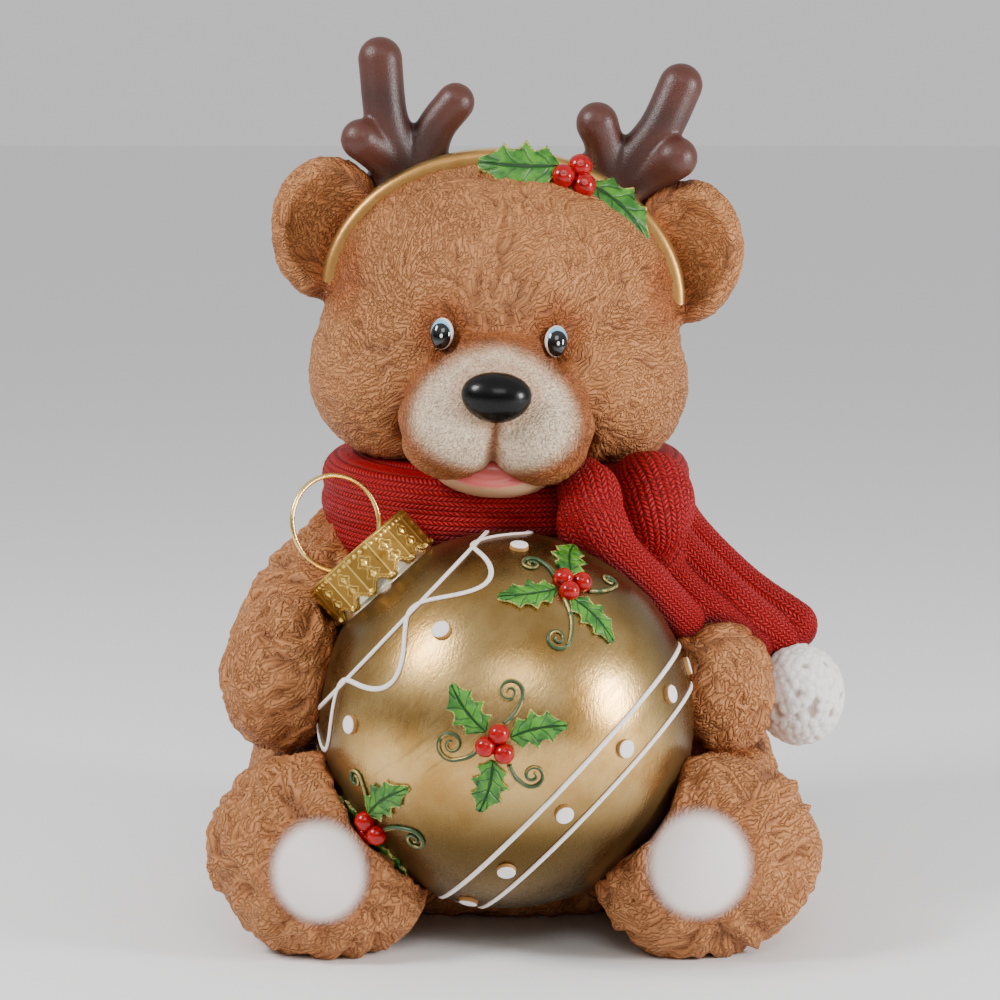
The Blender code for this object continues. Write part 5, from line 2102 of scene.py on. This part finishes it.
@dataclass
class Cap:
    """The stamped metal cap over the bauble's neck, and its wire ring."""

    plan: Plan
    columns: int = 24
    rows: int = 88

    def relief(self, panel: np.ndarray, level: np.ndarray) -> np.ndarray:
        """Returns the height of the stamping in metres.

        Args:
            panel: place across a panel, -1 to 1.
            level: millimetres above the skirt's edge circle.
        """
        side = np.abs(panel) * math.pi * self.plan.cap_radius / self.plan.cap_scallops * 1000.0
        height = 0.45 * np.exp(-(((np.abs(panel) - 1.0) / 0.055) ** 2))
        for middle in (8.2, 15.0):
            rise = np.abs(level - middle)
            boss = np.clip(1.0 - (side / 1.9 + rise / 2.5), 0.0, 1.0)
            height = np.maximum(height, 0.95 * boss**0.7)
            zone = side / 3.6 + rise / 4.1
            beads = 0.5 + 0.5 * np.cos(7.4 * (side - rise) / 1.15)
            height = np.maximum(height, 0.55 * np.exp(-(((zone - 1.0) / 0.13) ** 2)) * beads)
        beads = 0.5 + 0.5 * np.cos(side * math.tau / 3.4 + math.pi)
        height = np.maximum(height, 0.65 * np.exp(-(((level - 20.2) / 0.75) ** 2)) * beads**1.5)
        height = np.maximum(height, 0.40 * ease(21.6, 22.2, level))
        edge = self.scallop(panel) * 1000.0
        for offset in (0.9, 2.4):
            beads = 0.5 + 0.5 * np.cos(side * math.tau / 1.35)
            height = np.maximum(height, 0.40 * np.exp(-(((level - edge - offset) / 0.42) ** 2)) * beads)
        drop = np.hypot(side - math.pi * self.plan.cap_radius / self.plan.cap_scallops * 1000.0, level - 1.7)
        height = np.maximum(height, 1.5 * np.sqrt(np.clip(1.0 - (drop / 1.7) ** 2, 0.0, 1.0)))
        return height / 1000.0

    def scallop(self, panel: np.ndarray) -> np.ndarray:
        """Returns how far the lower edge rises at a place across a panel."""
        return self.plan.cap_scallop_depth * (0.5 + 0.5 * np.cos(math.pi * panel)) ** 1.3

    def build(self) -> None:
        """Models and dresses the cap and the ring."""
        plan = self.plan
        inner = plan.cap_radius - plan.cap_wall
        skirt = plan.cap_seat + 0.0009
        top = plan.cap_seat + plan.cap_rise + plan.cap_wall / 2
        stations = np.array((
            (0.00, 0.0, top - plan.cap_wall, 0), (0.05, inner, top - plan.cap_wall, 0),
            (0.11, inner, skirt, 1), (0.13, plan.cap_radius, skirt, 1), (0.86, plan.cap_radius, top - 0.0006, 0),
            (0.88, plan.cap_radius + 0.0003, top, 0), (0.91, inner, top, 0), (0.94, inner - 0.002, top - 0.0007, 0),
            (1.00, 0.0, top - 0.0004, 0),
        ))

        def shape(u: np.ndarray, v: np.ndarray) -> np.ndarray:
            """Turns the cap's wall round its axis and stamps it."""
            spin = np.mod(u, 1.0) * math.tau
            panel = 2.0 * np.mod(u * plan.cap_scallops, 1.0) - 1.0
            radius = np.interp(v, stations[:, 0], stations[:, 1])
            height = np.interp(v, stations[:, 0], stations[:, 2])
            low = np.interp(v, stations[:, 0], stations[:, 3])
            wall = (v >= 0.13) & (v <= 0.86)
            climb = (v - 0.13) / 0.73
            lift = self.scallop(panel)
            height = height + lift * np.where(wall, 1.0 - climb, low)
            level = (height - skirt) * 1000.0
            radius = radius + np.where(wall, self.relief(panel, level), 0.0)
            rows = np.stack((np.cos(spin) * radius, np.sin(spin) * radius, height), 1)
            return moved(rows, aimed(plan.ball_centre, plan.cap_axis))

        cap = shaped_grid("cap_stamped", plan.cap_scallops * self.columns, self.rows, shape)
        self.note_hollows(cap, plan.cap_radius)
        dress(cap, BrassPaint("cap_brass").material(), Node.CAP, Slot.CAP)
        bpy.ops.mesh.primitive_torus_add(
            major_segments=128, minor_segments=16, major_radius=plan.ring_radius, minor_radius=plan.ring_wire,
        )
        ring = bpy.context.object
        ring.name = "ring_wire"
        move_corners(ring, moved(corners(ring), plan.ring_frame))
        note(ring, "hollow", np.zeros(len(ring.data.vertices)))
        dress(ring, BrassPaint("ring_brass", paint(236, 200, 122), roughness=0.2).material(),
              Node.RING, Slot.RING)

    def note_hollows(self, cap: bpy.types.Object, radius: float) -> None:
        """Notes where the stamping is low, for the dark wash."""
        local = moved(corners(cap), aimed(self.plan.ball_centre, self.plan.cap_axis).inverted())
        reach = np.hypot(local[:, 0], local[:, 1])
        note(cap, "hollow", np.where(reach > radius - 0.0002, 1.0 - ease(0.0, 0.00045, reach - radius), 0.2))


@dataclass(frozen=True)
class EyePaint:
    """A painted eye: white, with a black pupil, a light blue arc above it and a white dot.

    Args:
        name: the material's name.
        centre: the eye's middle.
        radii: half its width and half its height; not used.
        pupil: offset of the pupil from the middle, in metres.
    """

    name: str
    centre: Row
    radii: Row
    pupil: Row = (0.0, -0.0010)
    pupil_radii: Row = (0.0050, 0.0064)
    white: Colour = paint(244, 244, 244)
    blue: Colour = paint(134, 196, 226)
    black: Colour = paint(14, 13, 14)

    def zone(self, x: Signal, z: Signal, at: Row, radii: Row) -> Signal:
        """Returns the distance from a point, 1 on an ellipse about it."""
        across = (x - (self.centre[0] + at[0])) / radii[0]
        up = (z - (self.centre[2] + at[1])) / radii[1]
        return (across * across + up * up).root()

    def material(self) -> bpy.types.Material:
        """Builds the material."""
        desk = Desk(self.name)
        x, _, z = desk.axes(desk.place())
        px, pz = self.pupil
        rx, rz = self.pupil_radii
        arc = self.zone(x, z, (px, pz + 0.0009), (rx * 1.02, rz * 1.12)).step(1.04, 0.98)
        arc = arc * (z - self.centre[2]).step(0.0006, 0.0022)
        pupil = self.zone(x, z, self.pupil, self.pupil_radii).step(1.03, 0.97)
        glint = self.zone(x, z, (px + 0.0004, pz + rz * 0.05), (0.0007, 0.0010)).step(1.2, 0.8)
        colour = desk.mix(arc, self.white, self.blue)
        colour = desk.mix(pupil, colour, self.black)
        colour = desk.mix(glint, colour, self.white)
        return desk.finish(Base_Color=colour, Roughness=0.10, Coat_Weight=0.6)


@dataclass(frozen=True)
class MouthPaint:
    """A pink mouth inside a beige lower lip.

    Args:
        centre: middle of the mouth's upper edge.
        radii: half its width and its depth.
    """

    centre: Row
    radii: Row
    name: str = "mouth_pink"
    pink: Colour = paint(214, 96, 88)
    deep: Colour = paint(160, 60, 52)
    lip: Colour = paint(212, 168, 130)

    def material(self) -> bpy.types.Material:
        """Builds the material."""
        desk = Desk(self.name)
        x, _, z = desk.axes(desk.place())
        across = (x - self.centre[0]) / self.radii[0]
        down = (z - self.centre[2]) / self.radii[1]
        zone = (across * across + down * down).root()
        cloud = desk.noise(0.006, 2.0)
        inside = desk.mix(down.step(-0.75, -0.1), self.pink, self.deep)
        colour = desk.mix(zone.step(0.94, 1.10), inside, self.lip)
        return desk.finish(Base_Color=colour, Roughness=0.34 + cloud * 0.1, Coat_Weight=0.2,
                           Normal=desk.bump(cloud, 0.0001))


@dataclass
class Face:
    """Eyes, nose and mouth on the front of the head."""

    plan: Plan
    head: Head
    eye_radii: Row = (5.7, 4.6, 8.0)
    eye_tilt: float = -16.0
    eye_stand: float = 2.0
    pupil_at: Row = (0.0007, -0.0010)
    eyes_at: Sequence[Row] = ((-29.3, -4.1), (26.9, -4.2))
    nose_at: Row = (-0.8, -112.0, -29.8)
    nose_radii: Row = (16.9, 12.0, 12.3)
    mouth_at: Row = (0.0, -76.0, -69.5)
    mouth_radii: Row = (30.0, 23.0, 13.5)

    def build(self) -> None:
        """Models and paints the face."""
        share = self.plan.share
        tree = self.head.tree()
        roll = Matrix.Rotation(self.plan.head_roll, 4, "Y")
        tilt = Matrix.Rotation(math.radians(self.eye_tilt), 4, "X")
        for name, (x, z) in zip(("eye_left", "eye_right"), self.eyes_at):
            start = self.plan.head @ (Vector((x, -300.0, z)) * share)
            point = tree.ray_cast(start, Vector((0.0, 1.0, 0.0)))[0]
            centre = point + Vector((0.0, -self.eye_stand * share, 0.0))
            place = Matrix.Translation(centre) @ roll @ tilt
            clay = Clay(name)
            clay.lump((0, 0, 0), self.eye_radii, place=place, share=share, detail=4)
            eye = clay.joined()
            radii = (self.eye_radii[0] * share, self.eye_radii[2] * share)
            pupil = (math.copysign(self.pupil_at[0], x), self.pupil_at[1])
            dress(eye, EyePaint(name, tuple(centre), radii, pupil).material(), Node.BEAR, Slot.GLOSS)
        self.nose()
        self.mouth()

    def nose(self) -> None:
        """Models the nose, broader above than below."""
        clay = Clay("nose")
        part = clay.lump((0, 0, 0), (1, 1, 1), detail=5)
        x, y, z = corners(part).T
        x = x * (1.0 + 0.10 * z)
        share = self.plan.share
        move_corners(part, np.stack((x, y, z), 1) * np.array(self.nose_radii) * share)
        part.matrix_world = self.plan.head @ Matrix.Translation(Vector(self.nose_at) * share)
        black = GlossPaint("nose_black", paint(6, 5, 6), paint(3, 3, 4), 0.24, 0.20)
        dress(clay.joined(), black.material(), Node.BEAR, Slot.GLOSS)

    def mouth(self) -> None:
        """Models the open mouth: a lower lip hollowed above."""
        share = self.plan.share
        clay = Clay("mouth")
        clay.lump(self.mouth_at, self.mouth_radii, place=self.plan.head, share=share, detail=5)
        piece = clay.joined()
        centre = self.plan.head @ (Vector((-0.5, -100.0, -64.5)) * share)
        radii = (26.0 * share, 11.0 * share)
        points = corners(piece)
        zone = np.hypot((points[:, 0] - centre.x) / radii[0], (points[:, 2] - centre.z) / radii[1])
        front = points[:, 1] < centre.y + 0.012
        points[:, 1] += 0.0035 * ease(1.05, 0.6, zone) * front
        move_corners(piece, points)
        dress(piece, MouthPaint(tuple(centre), radii).material(), Node.BEAR, Slot.GLOSS)


@dataclass(frozen=True)
class Studio:
    """The camera, the pale floor and the soft lights.

    Args:
        target: the point that the camera looks at, in the plan's own frame.
        elevation: how far the camera looks down, in degrees.
        distance: from the camera to the target.
        lens: focal length in millimetres on a 36 mm frame.
        sky_front: strength of the sky behind the camera.
        sky_back: strength of the sky behind the figure.
        sky_top: strength of the sky overhead.
        soft_boxes: name, place, size and power of each soft box.
    """

    plan: Plan
    target: Row = (0.0, -0.060, 0.2115)
    elevation: float = 8.0
    distance: float = 1.39
    lens: float = 100.0
    sky_front: float = 0.10
    sky_back: float = 0.70
    sky_top: float = 0.76
    soft_boxes: Sequence[tuple[str, Row, Row, float]] = (
        ("box_right", (1.26, -0.56, 0.47), (0.30, 0.42), 21.0),
        ("box_left", (-1.02, -0.48, 1.12), (0.40, 0.40), 19.0),
        ("box_front", (0.2, -1.5, 1.3), (0.8, 0.5), 6.0),
    )

    def camera(self) -> None:
        """Sets the camera at the photograph's viewpoint."""
        target = Vector(self.target) + Vector(self.plan.shift)
        tilt = math.radians(self.elevation)
        away = Vector((0.0, -math.cos(tilt), math.sin(tilt)))
        data = bpy.data.cameras.new("camera")
        data.lens = self.lens
        data.sensor_width = 36.0
        camera = bpy.data.objects.new("camera", data)
        camera.location = target + away * self.distance
        camera.rotation_euler = (math.radians(90.0) - tilt, 0.0, 0.0)
        bpy.context.scene.collection.objects.link(camera)
        bpy.context.scene.camera = camera

    def light(self, name: str, place: Row, size: Row, power: float) -> None:
        """Adds one soft box that looks at the figure."""
        data = bpy.data.lights.new(name, "AREA")
        data.shape = "RECTANGLE"
        data.size, data.size_y = size
        data.energy = power
        lamp = bpy.data.objects.new(name, data)
        lamp.location = place
        aim = Vector((0.0, 0.0, 0.2)) - Vector(place)
        lamp.rotation_euler = aim.to_track_quat("-Z", "Y").to_euler()
        bpy.context.scene.collection.objects.link(lamp)

    def build(self) -> None:
        """Adds camera, floor, sky and lights."""
        self.camera()
        bpy.ops.mesh.primitive_plane_add(size=60.0)
        floor = bpy.context.object
        floor.name = "studio_floor"
        desk = Desk("floor_white")
        floor.data.materials.append(desk.finish(Base_Color=(0.90, 0.90, 0.90), Roughness=0.9))
        sky = Desk("studio", sky=True)
        _, back, up = sky.axes(sky.add("ShaderNodeTexCoord", out="Generated"))
        level = self.sky_front + back.step(-0.4, 0.5) * (self.sky_back - self.sky_front)
        high = up.step(0.10, 0.65)
        strength = level * (1.0 - high) + high * self.sky_top
        bpy.context.scene.world = sky.finish(Color=(1.0, 1.0, 1.0), Strength=strength)
        for soft_box in self.soft_boxes:
            self.light(*soft_box)


@dataclass
class Figurine:
    """The whole figure."""

    plan: Plan

    def fur_parts(self) -> list[FurPart]:
        """Returns the parts of the furry skin, not yet modelled."""
        plan = self.plan
        cream = FurPaint("fur_head")
        bare = FurPaint("fur_body", patch=paint(243, 234, 230), stipple=0.0)
        fine = Locks(0.0052, 0.0140, 0.0034, swing=12.0, bend=0.45, roundness=0.8)
        arm_coat = FurCoat(
            Locks(0.0098, 0.022, 0.0074, swing=14.0, bend=0.5, roundness=0.85), fine,
            clump_rise=0.0056, rise=0.0019, swirl=50.0, seed=23,
        )
        leg_coat = FurCoat(
            Locks(0.0102, 0.023, 0.0078, swing=14.0, bend=0.5, roundness=0.85), fine,
            clump_rise=0.0066, rise=0.0020, swirl=55.0, seed=31,
        )
        head_coat = FurCoat(
            Locks(0.0076, 0.018, 0.0056, swing=10.0, bend=0.5, roundness=0.7),
            Locks(0.0042, 0.0108, 0.0025, swing=10.0, bend=0.45, roundness=0.8),
            clump_rise=0.0024, rise=0.0017, swirl=26.0,
        )
        return [
            Head(plan, "head", 1.42 * plan.share, 24, head_coat, cream),
            Trunk(plan, "trunk", 2.9 * plan.share, 10, leg_coat, bare),
            Arm(plan, "arm_left", 1.5 * plan.share, 20, arm_coat, bare,
                route=((-57, 8, 184, 33), (-78, -8, 168, 31), (-97, -38, 151, 31)),
                paw_way=(-111.0, 15.0, 21.0), paw_reach=20.5, paw_radii=(30.5, 38, 38), paw_turn=8,
                lie=(-0.9, -0.3, -0.5)),
            Arm(plan, "arm_right", 1.5 * plan.share, 20, arm_coat, bare,
                route=((66, 10, 184, 34), (92, -4, 154, 33), (106, -32, 128, 32)),
                paw_way=(104.0, 36.0, 8.5), paw_reach=17.5, paw_radii=(31, 38, 35), paw_turn=-6,
                lie=(0.5, -0.3, -0.8)),
            Leg(plan, "leg_left", 1.65 * plan.share, 20, leg_coat, bare,
                route=((-72, 10, 57, 59), (-83, -50, 46, 49), (-87, -90, 43, 45)),
                foot_at=(-87, -126, 46), foot_turn=(-4, 20, -8), sole_at=(-85.6, 47.3),
                sole_radii=(23.0, 25.0)),
            Leg(plan, "leg_right", 1.65 * plan.share, 20, leg_coat, bare,
                route=((84, 10, 57, 59), (96, -50, 46, 50), (100, -90, 43, 45)),
                foot_at=(100.5, -126, 46), foot_turn=(-4, -20, 8), sole_at=(94.6, 50.7),
                sole_radii=(24.5, 26.0)),
        ]

    def build(self) -> None:
        """Models all forms, then finishes each beside its neighbours."""
        parts = self.fur_parts()
        for part in parts:
            part.model()
            LOG.info("modelled %s", part.name)
        scarf = Scarf(self.plan)
        scarf.model()
        band = Headband(self.plan)
        band.model()
        antlers = Antlers(self.plan)
        antlers.model()
        bauble = Bauble(self.plan)
        bauble.model()
        trees = {part.name: part.tree() for part in parts}
        knit = [surface_tree(piece) for piece in scarf.pieces]
        horns = [surface_tree(piece) for piece in antlers.pieces]
        gold = [surface_tree(band.piece)]
        ball = [surface_tree(bauble.ball)]
        Face(self.plan, parts[0]).build()
        # Surfaces that lay painted shade on each part where they come near.
        near = {
            "head": knit + horns + gold,
            "trunk": knit + [trees[name] for name in trees if name not in ("head", "trunk")],
            "arm_left": knit[:1] + ball + [trees["leg_left"], trees["trunk"]],
            "arm_right": knit + ball + [trees["leg_right"], trees["trunk"]],
            "leg_left": ball + [trees["arm_left"], trees["trunk"]],
            "leg_right": ball + [trees["arm_right"], trees["trunk"]],
        }
        for part in parts:
            part.cover(near[part.name])
        scarf.finish([trees["head"], trees["arm_right"]] + ball)
        antlers.finish()
        band.finish()
        limbs = [trees[name] for name in ("arm_left", "arm_right", "leg_left", "leg_right")]
        bauble.finish(limbs + knit)
        Pompom(self.plan).build()
        Holly(self.plan).build()
        Cap(self.plan).build()


def main() -> None:
    """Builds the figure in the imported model's frame."""
    logging.basicConfig(level=logging.INFO, format="%(message)s")
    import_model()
    bpy.ops.object.select_all(action="DESELECT")
    plan = Plan().in_frame()
    LOG.info("shift to the frame: %s", [round(value, 5) for value in plan.shift])
    Studio(plan).build()
    Figurine(plan).build()


if __name__ == "__main__":
    main()
